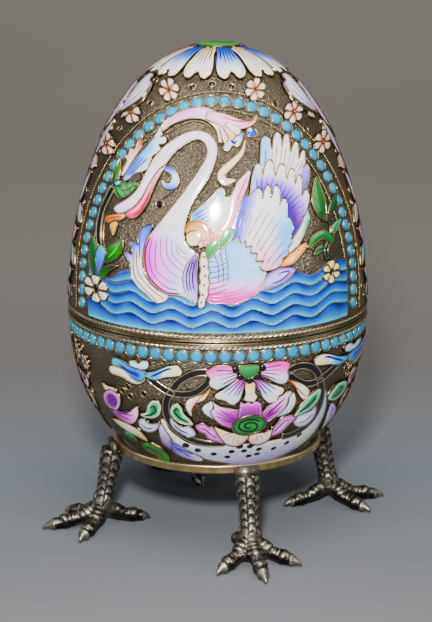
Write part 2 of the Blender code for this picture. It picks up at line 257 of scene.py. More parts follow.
def smooth(points, closed=True, step=0.4):
    """Even points along a smooth curve through points; a point given twice makes a corner."""
    count = len(points)
    fine = []
    spans = count if closed else count - 1
    for index in range(spans):
        if closed:
            four = [points[(index + shift) % count] for shift in (-1, 0, 1, 2)]
        else:
            four = [points[min(max(index + shift, 0), count - 1)] for shift in (-1, 0, 1, 2)]
        a, b, c, d = four
        if b == c:
            continue
        for part in range(12):
            t = part / 12.0
            fine.append(tuple(0.5 * (2 * b[k] + (c[k] - a[k]) * t
                            + (2 * a[k] - 5 * b[k] + 4 * c[k] - d[k]) * t * t
                            + (3 * b[k] - a[k] - 3 * c[k] + d[k]) * t ** 3) for k in (0, 1)))
    fine.append(points[0] if closed else points[-1])
    marks = [0.0]
    for first, second in zip(fine, fine[1:]):
        marks.append(marks[-1] + hypot(second[0] - first[0], second[1] - first[1]))
    number = max(3, int(round(marks[-1] / step)))
    wanted = [marks[-1] * index / number for index in range(number if closed else number + 1)]
    xs = np.interp(wanted, marks, [p[0] for p in fine])
    ys = np.interp(wanted, marks, [p[1] for p in fine])
    return [(float(x), float(y)) for x, y in zip(xs, ys)]


def sideways(points, closed):
    """Unit directions to the left of a line at each of its points."""
    count = len(points)
    out = []
    for index in range(count):
        before = points[index - 1] if closed or index else points[0]
        after = points[(index + 1) % count] if closed or index < count - 1 else points[-1]
        dx, dy = after[0] - before[0], after[1] - before[1]
        size = hypot(dx, dy) or 1.0
        out.append((-dy / size, dx / size))
    return out


def turns(count):
    """Even turns in radians round a circle."""
    return [2 * pi * index / count for index in range(count)]


def quads(rows, columns, round_rows=True, round_columns=True, start=0):
    """Faces of a grid of vertices. What is round joins its last row or column to the first."""
    faces = []
    for row in range(rows if round_rows else rows - 1):
        near, far = start + row * columns, start + (row + 1) % rows * columns
        for k in range(columns if round_columns else columns - 1):
            after = (k + 1) % columns
            faces.append((near + k, far + k, far + after, near + after))
    return faces


def strip(pile, place, points, section, tints, closed=False, taper=0.0):
    """Sweeps (sideways, lift) pairs along a line. Taper thins both ends over that many points."""
    count = len(points)
    places = []
    for index, ((x, y), (wx, wy)) in enumerate(zip(points, sideways(points, closed))):
        thin = min(1.0, 0.25 + min(index, count - 1 - index) / taper) if taper else 1.0
        for out, lift in section:
            places.append(place(x + wx * out * thin, y + wy * out * thin, lift))
    pile.add(places, quads(count, len(section), closed, False),
             tints if isinstance(tints, tuple) else tints * count)


WIRE_FOOT = -0.05


def wire(pile, place, points, top, half=0.14, closed=False, tint=SILVER):
    """Flat wire on its edge, soldered on the metal, with painted shade: its sides darker than its
    crest and darkest at its foot.
    """
    section = [(-half - 0.06, WIRE_FOOT), (-half, top - 0.07), (0.0, top), (half, top - 0.07),
               (half + 0.06, WIRE_FOOT)]
    # Painted shade: the sides take a darker colour than the crest, and the foot the darkest.
    shaded_side = blend(WIRE_SHADE, tint, 0.45)
    strip(pile, place, points, section, [WIRE_SHADE, shaded_side, tint, shaded_side, WIRE_SHADE], closed)


def beaded(pile, place, points, top, half, tint, pitch):
    """Wire with a beaded edge: the section swells and sinks along it, painted brighter on each
    swell as a highlight and darker in each dip as shade.
    """
    fine = smooth(points, False, pitch / 4.0)
    places, tints = [], []
    for index, ((x, y), (wx, wy)) in enumerate(zip(fine, sideways(fine, False))):
        swell = 0.66 + 0.34 * cos(0.5 * pi * index)
        out, high = half * swell, top * (0.78 + 0.22 * swell)
        for across, lift in ((-out, WIRE_FOOT), (-out, 0.7 * high), (0.0, high), (out, 0.7 * high),
                (out, WIRE_FOOT)):
            places.append(place(x + wx * across, y + wy * across, lift))
        # Painted highlight and shade: brighter where the wire swells, darker in the dips and at the
        # foot.
        shaded_side = blend(WIRE_SHADE, tint, 0.3 + 0.4 * swell)
        tints.extend((WIRE_SHADE, shaded_side, blend(shaded_side, tint, swell), shaded_side, WIRE_SHADE))
    pile.add(places, quads(len(fine), 5, False, False), tints)


# Round things: domes, rings of wire, and outlines turned about the egg's axis.

def local(place, x, y):
    """Origin and the right, up and outward directions of a surface at a place."""
    middle = place(x, y, 0.0)
    right = (place(x + 0.05, y, 0.0) - place(x - 0.05, y, 0.0)).normalized()
    out = (place(x, y, 1.0) - middle).normalized()
    right = (right - out * right.dot(out)).normalized()
    return middle, right, out.cross(right), out


def dome(pile, spot, radius, base, rise, tint, rim_tint=None, sides=16, rows=4):
    """Domed button on a spot."""
    middle, right, up, out = spot
    rim_tint = rim_tint or tint
    ways = [right * cos(turn) + up * sin(turn) for turn in turns(sides)]
    places, tints = [middle + out * (base + rise)], [tint]
    for row in range(1, rows + 1):
        share = row / rows
        lift = base + rise * sqrt(max(0.0, 1.0 - share * share))
        places.extend(middle + way * radius * share + out * lift for way in ways)
        tints.extend([blend(tint, rim_tint, share ** 3)] * sides)
    places.extend(middle + way * radius - out * 0.1 for way in ways)
    tints.extend([rim_tint] * sides)
    cap = [(0, 1 + step, 1 + (step + 1) % sides) for step in range(sides)]
    pile.add(places, cap + quads(rows + 1, sides, False, True, 1), tints)


def hoop(pile, spot, radius, thick, lift, tint, sides=20, around=6):
    """Round wire bent to a ring that lies on a spot."""
    middle, right, up, out = spot
    places = []
    for turn in turns(sides):
        way = right * cos(turn) + up * sin(turn)
        places.extend(middle + way * (radius + thick * cos(angle)) + out
                      * (lift + thick * sin(angle)) for angle in turns(around))
    pile.add(places, quads(sides, around), tint)


def revolve(pile, outline, tint, sides=192):
    """Turns a closed (radius, height) outline about the egg's axis."""
    places = [Vector((radius * sin(turn), -radius * cos(turn), height))
              for turn in turns(sides) for radius, height in outline]
    tints = [tint(place) for place in places] if callable(tint) else tint
    pile.add(places, quads(sides, len(outline)), tints)


# Materials. Each takes its colour from the vertices and breaks it up with noise.

def add_node(tree, kind, **values):
    """Node with values for its inputs, or else for its settings."""
    node = tree.nodes.new(kind)
    for key, value in values.items():
        if key in node.inputs:
            node.inputs[key].default_value = value
        else:
            setattr(node, key, value)
    return node


def spread(tree, source, low, high, start=0.3, end=0.7):
    """Stretches what lies between start and end over low to high."""
    node = add_node(tree, "ShaderNodeMapRange", **{"From Min": start, "From Max": end,
                        "To Min": low, "To Max": high})
    tree.links.new(source, node.inputs["Value"])
    return node.outputs["Result"]


def texture(tree, kind, output, **values):
    """Pattern in space, from the surface's own position."""
    spot = add_node(tree, "ShaderNodeNewGeometry")
    node = add_node(tree, kind, **values)
    tree.links.new(spot.outputs["Position"], node.inputs["Vector"])
    return node.outputs[output]


def coloured(tree, colour, factor):
    """Sets the shader's colour to a colour times a factor."""
    scale = add_node(tree, "ShaderNodeVectorMath", operation="SCALE")
    tree.links.new(colour, scale.inputs[0])
    tree.links.new(factor, scale.inputs["Scale"])
    tree.links.new(scale.outputs["Vector"], tree.nodes["Principled BSDF"].inputs["Base Color"])


def new_material(name, **values):
    """Material with a Principled shader, with that shader and its node tree."""
    made = bpy.data.materials.new(name)
    made.use_nodes = True
    shader = made.node_tree.nodes["Principled BSDF"]
    for key, value in values.items():
        shader.inputs[key.replace("_", " ")].default_value = value
    return made, made.node_tree, shader


def surface_material(name, metallic, rough, patches, depth, bump_scale, bump, coat=0.0, fine=None):
    """Principled surface: tint x cloudy patches, uneven roughness and a fine bump.

    Patches, bump_scale and fine are scales of patterns, and depth is how much the patches darken.
    """
    made, tree, shader = new_material(name, Metallic=metallic, Coat_Weight=coat)
    if coat:
        shader.inputs["Coat Roughness"].default_value = 0.06
    tint = add_node(tree, "ShaderNodeAttribute", attribute_name="tint")
    cloud = texture(tree, "ShaderNodeTexNoise", "Fac", Scale=patches, Detail=5.0, Roughness=0.6)
    coloured(tree, tint.outputs["Color"], spread(tree, cloud, 1.0 - depth, 1.0 + 0.5 * depth))
    tree.links.new(spread(tree, cloud, rough[1], rough[0]), shader.inputs["Roughness"])
    height = texture(tree, "ShaderNodeTexNoise", "Fac", Scale=bump_scale, Detail=3.0)
    if fine:
        both = add_node(tree, "ShaderNodeMath", operation="ADD")
        tree.links.new(height, both.inputs[0])
        tree.links.new(texture(tree, "ShaderNodeTexVoronoi", "Distance", Scale=fine),
                       both.inputs[1])
        height = both.outputs["Value"]
    lump = add_node(tree, "ShaderNodeBump", Strength=bump, Distance=0.0002)
    tree.links.new(height, lump.inputs["Height"])
    tree.links.new(lump.outputs["Normal"], shader.inputs["Normal"])
    return made


GROUND = surface_material("matted_silver", metallic=1.0, rough=(0.3, 0.52), patches=2600.0,
        depth=0.75, bump_scale=1500.0, bump=1.0, fine=3600.0)
ENAMEL = surface_material("enamel", metallic=0.0, rough=(0.1, 0.26), patches=900.0, depth=0.12,
                          bump_scale=700.0, bump=0.16, coat=0.5)
SILVERED = surface_material("silver_wire", metallic=1.0, rough=(0.2, 0.36), patches=600.0,
        depth=0.18, bump_scale=2500.0, bump=0.1)
GILDED = surface_material("gilt_band", metallic=1.0, rough=(0.24, 0.42), patches=250.0, depth=0.25,
                          bump_scale=900.0, bump=0.25)
CAST = surface_material("cast_silver", metallic=1.0, rough=(0.34, 0.54), patches=350.0, depth=0.25,
                        bump_scale=1800.0, bump=0.35)
TURQUOISE = surface_material("turquoise_enamel", metallic=0.0, rough=(0.3, 0.42), patches=1200.0,
        depth=0.2, bump_scale=900.0, bump=0.25, coat=0.1)


# The two shells, with their walls, lip and rims.

def egg_profile(low, high, rows, grow=0.0):
    """Outline points of the egg from one height to another, pushed out by grow."""
    points = []
    top = acos(min(1.0, (high - EGG_WAIST) / (EGG_TOP - EGG_WAIST))) if high > EGG_WAIST else None
    for row in range(rows + 1):
        if high > EGG_WAIST:
            start = acos(max(0.0, (low - EGG_WAIST) / (EGG_TOP - EGG_WAIST)))
            turn = start + (top - start) * row / rows
            height = EGG_WAIST + (EGG_TOP - EGG_WAIST) * cos(turn)
        else:
            start = acos(min(1.0, (EGG_WAIST - low) / (EGG_WAIST - EGG_BOTTOM)))
            end = acos(min(1.0, (EGG_WAIST - high) / (EGG_WAIST - EGG_BOTTOM)))
            height = EGG_WAIST - (EGG_WAIST - EGG_BOTTOM) * cos(start + (end - start) * row / rows)
        radius, out, up = meridian(height)
        points.append((max(radius + grow * out, 0.0), height + grow * up))
    return points


def ground_tint(place):
    """Matted ground with faint stains."""
    stain = noise.noise(place * 0.12 + Vector((3.0, 1.0, 4.0)))
    return tuple(value * (1.0 + 0.16 * stain) for value in (136, 129, 117))


def build_shells():
    """Hollow lid and cup."""
    lid = Pile()
    outer = egg_profile(LID_ROPE + ROPE_RADIUS + 0.2, EGG_TOP, 70)
    inner = egg_profile(EGG_WAIST + 0.2, EGG_TOP, 40, -WALL)[::-1]
    rim = [(EGG_RADIUS - WALL, LID_LOW), (EGG_RADIUS + RIM_OUT - 0.08, LID_LOW),
           (EGG_RADIUS + RIM_OUT, LID_LOW + 0.08), (EGG_RADIUS + RIM_OUT, LID_LOW + 0.27),
           (EGG_RADIUS + RIM_OUT - 0.08, LID_LOW + 0.35), (EGG_RADIUS + 0.05, LID_LOW + 0.45)]
    inner[0] = (0.01, inner[0][1])
    outer[-1] = (0.01, outer[-1][1])
    revolve(lid, rim + outer + inner, ground_tint)
    lid.piece("lid_shell", GROUND, "enamelled_silver", "egg_lid")
    cup = Pile()
    lip_out = EGG_RADIUS - WALL - GAP
    rim_top = SEAM - 0.5 * GAP
    outer = egg_profile(EGG_BOTTOM, CUP_ROPE - ROPE_RADIUS - 0.2, 60)
    outer[0] = (0.01, outer[0][1])
    inner = egg_profile(EGG_BOTTOM, SEAM - LIP_DEPTH, 40, -WALL)[::-1]
    inner[-1] = (0.01, inner[-1][1])
    rim = [(EGG_RADIUS + 0.05, rim_top - 0.45), (EGG_RADIUS + RIM_OUT - 0.08, rim_top - 0.35),
           (EGG_RADIUS + RIM_OUT, rim_top - 0.27), (EGG_RADIUS + RIM_OUT, rim_top - 0.08),
           (EGG_RADIUS + RIM_OUT - 0.08, rim_top), (lip_out, rim_top), (lip_out, CUP_HIGH - 0.15),
           (lip_out - 0.15, CUP_HIGH), (lip_out - LIP_WALL + 0.1, CUP_HIGH),
           (lip_out - LIP_WALL, CUP_HIGH - 0.1)]
    revolve(cup, outer + rim + inner, ground_tint)
    cup.piece("cup_shell", GROUND, "enamelled_silver", "egg_cup")


# Ropes, beads and the bands at the seam.

def build_rims():
    """Polished rims of the lid and the cup."""
    for name, edge, way in (("lid_rim", LID_LOW, 1.0), ("cup_rim", SEAM - 0.5 * GAP, -1.0)):
        pile = Pile()
        outline = [(EGG_RADIUS + RIM_OUT + out, edge + way * up)
                   for out, up in ((-0.2, 0.0), (-0.07, 0.0), (0.02, 0.09), (0.02, 0.28),
                       (-0.07, 0.38), (-0.3, 0.42), (-0.3, 0.5), (-0.16, 0.56), (-0.16, 0.72),
                       (-0.4, 0.78))]
        revolve(pile, outline if way > 0.0 else outline[::-1], (158, 149, 130))
        pile.piece(name, SILVERED, "enamelled_silver")


def build_ropes():
    """Twisted wires: two strands wound about each other."""
    twists, around = 92, 6
    sections = twists * 14
    strand = 0.56 * ROPE_RADIUS
    offset = ROPE_RADIUS - strand
    for name, height in (("lid_rope", LID_ROPE), ("cup_rope", CUP_ROPE)):
        pile = Pile()
        for half in (0.0, pi):
            places = []
            for turn in turns(sections):
                wind = twists * turn + half
                way = Vector((sin(turn), -cos(turn), 0.0))
                along = Vector((cos(turn), sin(turn), 0.0))
                middle = way * (ROPE_RING + offset * cos(wind)) + Vector((0, 0,
                        height + offset * sin(wind)))
                lean = (along * ROPE_RING - way * offset * twists * sin(wind)
                        + Vector((0, 0, offset * twists * cos(wind)))).normalized()
                first = (way - lean * way.dot(lean)).normalized()
                second = lean.cross(first)
                places.extend(middle + (first * cos(angle) + second * sin(angle)) * strand
                        for angle in turns(around))
            pile.add(places, quads(sections, around), (206, 198, 178))
        pile.piece(name + "_twist", SILVERED, "silver_wire", name)


def arch_point(share):
    """Middle line of an arch: share 0 at the right foot, 0.5 at the top, 1 at the left foot."""
    straight = ARCH_LOW - PANEL_FOOT
    foot = 0.035
    if share < foot:
        return ARCH_ACROSS, PANEL_FOOT + 0.6 + (straight - 0.6) * share / foot
    if share > 1.0 - foot:
        return -ARCH_ACROSS, PANEL_FOOT + 0.6 + (straight - 0.6) * (1.0 - share) / foot
    turn = pi * (share - foot) / (1.0 - 2.0 * foot)
    return ARCH_ACROSS * cos(turn), ARCH_LOW + ARCH_RISE * sin(turn)


def surface_step(place, points):
    """Places evenly spaced on the surface by the arch's pitch along a drawn line."""
    marks = [0.0]
    spots = [place(x, y) for x, y in points]
    for first, second in zip(spots, spots[1:]):
        marks.append(marks[-1] + (second - first).length)
    number = int(round(marks[-1] / ARCH_PITCH))
    wanted = [marks[-1] * (index + 0.5) / number for index in range(number)]
    xs, ys = np.interp(wanted, marks, [p[0] for p in points]), np.interp(wanted, marks,
            [p[1] for p in points])
    return list(zip(xs, ys))


def turquoise(light=1.0):
    """One bead's colour, a little different each time; a light below 1 gives the darker copy used
    as painted shade at its rim.
    """
    shift = dice.uniform(-1.0, 1.0)
    return tuple(light * value for value in (2 + 8 * shift, 154 + 10 * shift, 180 + 8 * shift))


def set_beads(name, spots, radius):
    """Turquoise discs, each in its own wire ring."""
    beads, rings = Pile(), Pile()
    for spot in spots:
        # Painted shade: each bead darkens toward its rim.
        dome(beads, spot, radius - 0.1, 0.14, 0.42, turquoise(), turquoise(0.8))
        hoop(rings, spot, radius - 0.06, 0.1, 0.3, SILVER)
    beads.piece(name + "_beads", TURQUOISE, "enamelled_silver")
    rings.piece(name + "_bead_rings", SILVERED, "enamelled_silver")


def build_beads():
    """One row of beads round the cup and one round each picture's arch."""
    waist = [local(wrap(2 * pi * (index + 0.5) / WAIST_BEADS), 0.0, BEAD_ROW)
             for index in range(WAIST_BEADS)]
    set_beads("cup", waist, BEAD_RADIUS + 0.26)
    line = [arch_point(index / 160.0) for index in range(161)]
    arches = [local(place, x, y) for place in (panel(0.0), panel(pi))
              for x, y in surface_step(place, line)]
    set_beads("lid", arches, BEAD_RADIUS + 0.2)


# Enamel pictures. Drawings are in millimetres across and of height on the egg as first measured.

DRAWN_RADIUS, DRAWN_SEAM = 35.15, 53.65
GROW = EGG_RADIUS / DRAWN_RADIUS

WHITE, CREAM, IVORY = (244, 242, 242), (240, 226, 196), (250, 244, 228)
LILAC, VIOLET, PURPLE = (200, 176, 228), (128, 84, 178), (72, 30, 110)
ROSE, MAGENTA, PINK = (226, 132, 190), (184, 70, 160), (246, 204, 222)
SKY, BLUE, NAVY = (130, 196, 244), (50, 104, 206), (14, 34, 110)
MINT, GREEN, FOREST = (160, 222, 190), (30, 128, 84), (8, 58, 42)
AQUA, TEAL = (66, 186, 216), (18, 104, 118)
PEACH, BROWN, WINE = (248, 208, 190), (92, 52, 40), (120, 24, 60)
BLACK = (10, 9, 11)
INK_SPREAD = 1.45


def drawn(base):
    """Drawing on a view of the egg, held at the seam and grown with the egg."""
    def place(across, height, lift=0.0):
        return base(across * GROW, SEAM + (height - DRAWN_SEAM) * GROW, lift)
    return place


def depth_in(points, outline):
    """Whether each point lies inside a closed outline, and its distance from the outline."""
    start = np.array(outline)
    end = np.roll(start, -1, 0)
    step = end - start
    away = points[:, None, :] - start[None]
    share = np.clip((away * step).sum(2) / np.maximum((step * step).sum(1), 1e-9), 0.0, 1.0)
    gap = np.sqrt(((away - share[..., None] * step) ** 2).sum(2)).min(1)
    x, y = points[:, 0, None], points[:, 1, None]
    crosses = (start[:, 1] > y) != (end[:, 1] > y)
    slope = step[:, 0] / np.where(np.abs(step[:, 1]) < 1e-9, 1e-9, step[:, 1])
    within = (crosses & (x < start[:, 0] + (y - start[:, 1]) * slope)).sum(1) % 2 == 1
    return within, gap


def band(middle, halves, step=0.4):
    """Middle line, half widths and outline of a ribbon through places with a half width at each."""
    fine = smooth(middle, False, step)
    marks = [0.0]
    for first, second in zip(middle, middle[1:]):
        marks.append(marks[-1] + hypot(second[0] - first[0], second[1] - first[1]))
    count = len(fine)
    wide = [float(np.interp(marks[-1] * index / (count - 1), marks, halves))
            for index in range(count)]
    ways = sideways(fine, False)
    left = [(x + wx * h, y + wy * h) for (x, y), (wx, wy), h in zip(fine, ways, wide)]
    right = [(x - wx * h, y - wy * h) for (x, y), (wx, wy), h in zip(fine, ways, wide)]
    return fine, wide, left + right[::-1]


def toward(root, tip, stops, edge=None, reach=0.9):
    """Paint that changes from a root to a tip, with another colour at its edge."""
    dx, dy = tip[0] - root[0], tip[1] - root[1]
    size = dx * dx + dy * dy

    def paint(x, y, depth):
        colour = ramp(stops, ((x - root[0]) * dx + (y - root[1]) * dy) / size)
        return blend(edge, colour, depth / reach) if edge else colour
    return paint


def rimmed(rim, inner, reach):
    """Paint that changes from the rim of a field inward."""
    return lambda x, y, depth: blend(rim, inner, depth / reach)


class Art:
    """Enamel and wires of one picture on one surface."""

    def __init__(self, enamel, wires, place):
        self.enamel, self.wires, self.place = enamel, wires, place

    @staticmethod
    def lift(level):
        return 0.22 + 0.12 * level

    def cell(self, outline, level, paint, grid=0.55, swell=0.16, half=0.13, tint=SILVER,
             rounded=True):
        """One field of enamel in its wire."""
        line = smooth(outline, True, 0.42) if rounded else outline
        area = sum(a[0] * b[1] - b[0] * a[1] for a, b in zip(line, line[1:] + line[:1]))
        if area < 0.0:
            line = line[::-1]
        low, high = np.min(line, 0), np.max(line, 0)
        xs, ys = np.meshgrid(np.arange(low[0], high[0], grid),
                np.arange(low[1], high[1], grid * 0.9))
        xs[1::2] += 0.5 * grid
        points = np.stack([xs.ravel(), ys.ravel()], 1)
        if len(points):
            within, gap = depth_in(points, line)
            points = points[within & (gap > 0.4 * grid)]
        every = [Vector(p) for p in line] + [Vector(p) for p in points.tolist()]
        flat, _, faces, _, _, _ = delaunay_2d_cdt(every, [], [list(range(len(line)))], 1, 1e-5)
        spots = np.array([tuple(p) for p in flat])
        _, gap = depth_in(spots, line)
        base = self.lift(level)
        places, tints = [], []
        for (x, y), depth in zip(spots.tolist(), gap.tolist()):
            places.append(self.place(x, y, base + swell * (1.0 - exp(-depth / 0.45))))
            shade = 1.0 + 0.04 * noise.noise(Vector((x * 0.8, y * 0.8, level)))
            tints.append(tuple(value * shade for value in paint(x, y, depth)))
        self.enamel.add(places, faces, tints)
        wire(self.wires, self.place, line, base + 0.13, half, True, tint)

    def ribbon(self, middle, halves, level, stops, half=0.13, tint=SILVER, swell=0.16):
        """Ribbon of enamel. Each stop is a place along it with the colours left and right."""
        fine, wide, outline = band(middle, halves)
        line = np.array(fine)
        ways = np.array(sideways(fine, False))
        size = len(fine) - 1

        def paint(x, y, depth):
            gap = np.hypot(line[:, 0] - x, line[:, 1] - y)
            at = int(gap.argmin())
            out = float((x - line[at, 0]) * ways[at, 0] + (y - line[at, 1]) * ways[at, 1])
            over = 0.5 - 0.5 * out / max(wide[at], 0.05)
            place = at / size
            left = ramp([(s, a) for s, a, _ in stops], place)
            right = ramp([(s, b) for s, _, b in stops], place)
            return blend(left, right, over)
        self.cell(outline, level, paint, half=half, tint=tint, rounded=False, swell=swell)

    def stripes(self, middle, halves, level, offsets, ink, start=0.1, end=0.9, half=0.07):
        """Painted lines that follow a ribbon."""
        fine, wide, _ = band(middle, halves)
        ways = sideways(fine, False)
        count = len(fine)
        for offset in offsets:
            line = [(x + wx * h * offset, y + wy * h * offset)
                    for (x, y), (wx, wy), h in zip(fine, ways,
                        wide)][int(start * count):max(int(end * count), 3)]
            self.ink(line, level, ink, half, False)

    def ink(self, points, level, colour, half=0.07, curved=True):
        """Painted line on the enamel."""
        line = smooth(points, False, 0.4) if curved else points
        if len(line) < 2:
            return
        lift = self.lift(level) + 0.175
        half *= INK_SPREAD
        strip(self.enamel, self.place, line, [(-half, lift - 0.03), (0.0, lift + 0.01),
                  (half, lift - 0.03)], colour, False, 3.0)

    def line(self, points, top=0.34, half=0.1, closed=False):
        """Bare wire on the ground."""
        wire(self.wires, self.place, smooth(points, closed, 0.4), top, half, closed)

    def bead_line(self, points, top, tint=SILVER, pitch=0.55):
        """Bare wire with a beaded edge."""
        beaded(self.wires, self.place, points, top, 0.17, tint, pitch)

    def dot(self, x, y, radius=0.7, colour=BLACK, ring=SILVER, lift=0.05):
        """Round button in a wire ring on the ground."""
        spot = local(self.place, x, y)
        dome(self.enamel, spot, radius, lift, 0.2, colour, colour, 12, 2)
        hoop(self.wires, spot, radius + 0.1, 0.14, lift + 0.14, ring, 16, 5)

    def spot(self, x, y, level, radius, colour):
        """Dot of paint on enamel."""
        dome(self.enamel, local(self.place, x, y), radius, self.lift(level) + 0.12, 0.1, colour,
             colour, 10, 2)

    def shape(self, root, tip, width, stations, bend=0.0):
        """Outline about an axis from stations of (share along, half width)."""
        dx, dy = tip[0] - root[0], tip[1] - root[1]
        size = hypot(dx, dy)
        ux, uy = dx / size, dy / size
        out = []
        for share, wide in stations:
            sway = bend * size * 4.0 * share * (1.0 - share)
            out.append((root[0] + dx * share - uy * (0.5 * width * wide + sway),
                        root[1] + dy * share + ux * (0.5 * width * wide + sway)))
        return out

    def leaf(self, root, tip, width, level, stops, ink=None, bend=0.0, veins=2):
        """Pointed leaf with a rib and side veins."""
        stations = ((0.0, 0.25), (0.3, 0.95), (0.65, 0.8), (1.0, 0.0), (1.0, 0.0), (0.65, -0.8),
                    (0.3, -0.95), (0.0, -0.25))
        self.cell(self.shape(root, tip, width, stations, bend), level, toward(root, tip, stops),
                  half=0.1)
        if ink:
            self.ink(self.shape(root, tip, width, [(s, 0.0) for s in (0.06, 0.3, 0.6, 0.88)], bend),
                     level, ink)
            for index in range(veins):
                start = 0.15 + 0.5 * index / max(veins, 1)
                for way in (1, -1):
                    self.ink(self.shape(root, tip, width,
                            [(start, 0.05 * way), (start + 0.12, 0.35 * way),
                            (start + 0.2, 0.62 * way)], bend), level, ink, 0.055)

    def feather(self, root, tip, width, level, stops, ink=None, lines=3, spread=0.75):
        """Round-tipped feather with fine lines that fan toward its tip."""
        stations = ((0.0, 0.3), (0.35, 0.72), (0.65, 0.98), (0.86, 0.9), (0.97, 0.5), (0.97, -0.5),
                    (0.86, -0.9), (0.65, -0.98), (0.35, -0.72), (0.0, -0.3))
        self.cell(self.shape(root, tip, width, stations), level, toward(root, tip, stops))
        if ink:
            start = 0.12
            for index in range(lines):
                over = (2.0 * index / (lines - 1) - 1.0) * spread if lines > 1 else 0.0
                reach = 0.8 - 0.12 * abs(over)
                self.ink(self.shape(root, tip, width, [(start, over * 0.3),
                        (0.5 * (start + reach), over * 0.75), (reach, over)]), level, ink, 0.06)

    def flower(self, x, y, radius, petals, level, stops, middle, start=0.0, ink=None):
        """Flower of separate round petals about a domed middle."""
        for index in range(petals):
            turn = start + 2 * pi * index / petals
            root = (x + 0.24 * radius * cos(turn), y + 0.24 * radius * sin(turn))
            tip = (x + radius * cos(turn), y + radius * sin(turn))
            self.feather(root, tip, 0.95 * 2 * radius * sin(pi / petals), level, stops, ink,
                    lines=2, spread=0.3)
        spot = local(self.place, x, y)
        dome(self.enamel, spot, 0.24 * radius, self.lift(level) - 0.05, 0.25, middle, middle, 12, 2)
        hoop(self.wires, spot, 0.26 * radius, 0.1, self.lift(level) + 0.08, SILVER, 16, 5)

    def curl(self, x, y, radius, winds, start, level, stops, halves, way):
        """Ribbon wound to a spiral that ends in the middle."""
        steps = int(8 * winds) + 2
        line = []
        for index in range(steps):
            share = index / (steps - 1)
            turn = start + way * 2 * pi * winds * share
            reach = radius * (1.0 - 0.82 * share)
            line.append((x + reach * cos(turn), y + reach * sin(turn)))
        widths = [halves[0] + (halves[1] - halves[0]) * index / (steps - 1)
                  for index in range(steps)]
        widths[0] *= 0.4
        self.ribbon(line, widths, level, stops)


def water(art):
    """Rows of waves under crests of beaded wire; they climb at both sides."""
    low, rows, columns, parts = 55.9, 5, 132, 7

    def limit(height):
        across = ARCH_ACROSS - BORDER_WIRE
        share = min(1.0, max(0.0, height - ARCH_DRAWN) / (ARCH_RISE - BORDER_WIRE))
        return across * sqrt(1.0 - share * share)

    def crest(row, across):
        wave = sin(2 * pi * (across + 3.4) / 8.8)
        rise = 57.9 + 2.4 * row + 1.7 * abs(across / 28.0) ** 3
        if row == rows - 1:
            rise -= 2.4 * min(1.0, max(0.0, (-21.5 - across) / 3.0))
        return rise + 0.66 * wave + 0.1 * wave * abs(wave)

    for row in range(rows - 1, -1, -1):
        crests, places, tints = [], [], []
        for column in range(columns + 1):
            over = 2.0 * column / columns - 1.0
            across = over * limit(crest(row, over * 29.0))
            high = crest(row, across)
            under = crest(row - 1, across) if row else low
            crests.append((across, high))
            cloud = noise.noise(Vector((across * 0.35, row * 1.7, 2.0)))
            deep = blend((0, 34, 112), (0, 78, 168), 0.45 + cloud)
            stops = [(0.0, (0, 22, 78)), (0.14, deep), (0.46, (0, 104, 178)), (0.8, (0, 158, 198)),
                     (1.0, (30, 206, 218))]
            for part in range(parts + 1):
                share = part / parts
                lift = art.lift(0) + 0.16 * sin(pi * min(0.95, share + 0.1))
                places.append(art.place(across, high + (under - high) * share, lift))
                tints.append(ramp(stops, share + 0.12 * cloud))
        faces = [(a, d, c, b) for a, b, c, d in quads(columns + 1, parts + 1, False, False)]
        art.enamel.add(places, faces, tints)
        art.bead_line(crests, 0.5, (206, 206, 190), 0.5)


def arch_border(art):
    """Beaded wires on both sides of an arch's beads."""
    for inset in (BORDER_WIRE, -BORDER_WIRE):
        across = ARCH_ACROSS - inset
        points = [(across, 56.2), (across, 58.0)]
        for index in range(41):
            turn = pi * index / 40
            points.append((across * cos(turn), ARCH_DRAWN + (ARCH_RISE - inset) * sin(turn)))
        art.bead_line(points + [(-across, 58.0), (-across, 56.2)], 0.42)


def stems(art, lines, half=0.72, top=1):
    """Black enamel stems between silver wires."""
    for line in lines:
        art.ribbon(line, [half] * len(line), top, same(BLACK), 0.17, BRIGHT, 0.06)


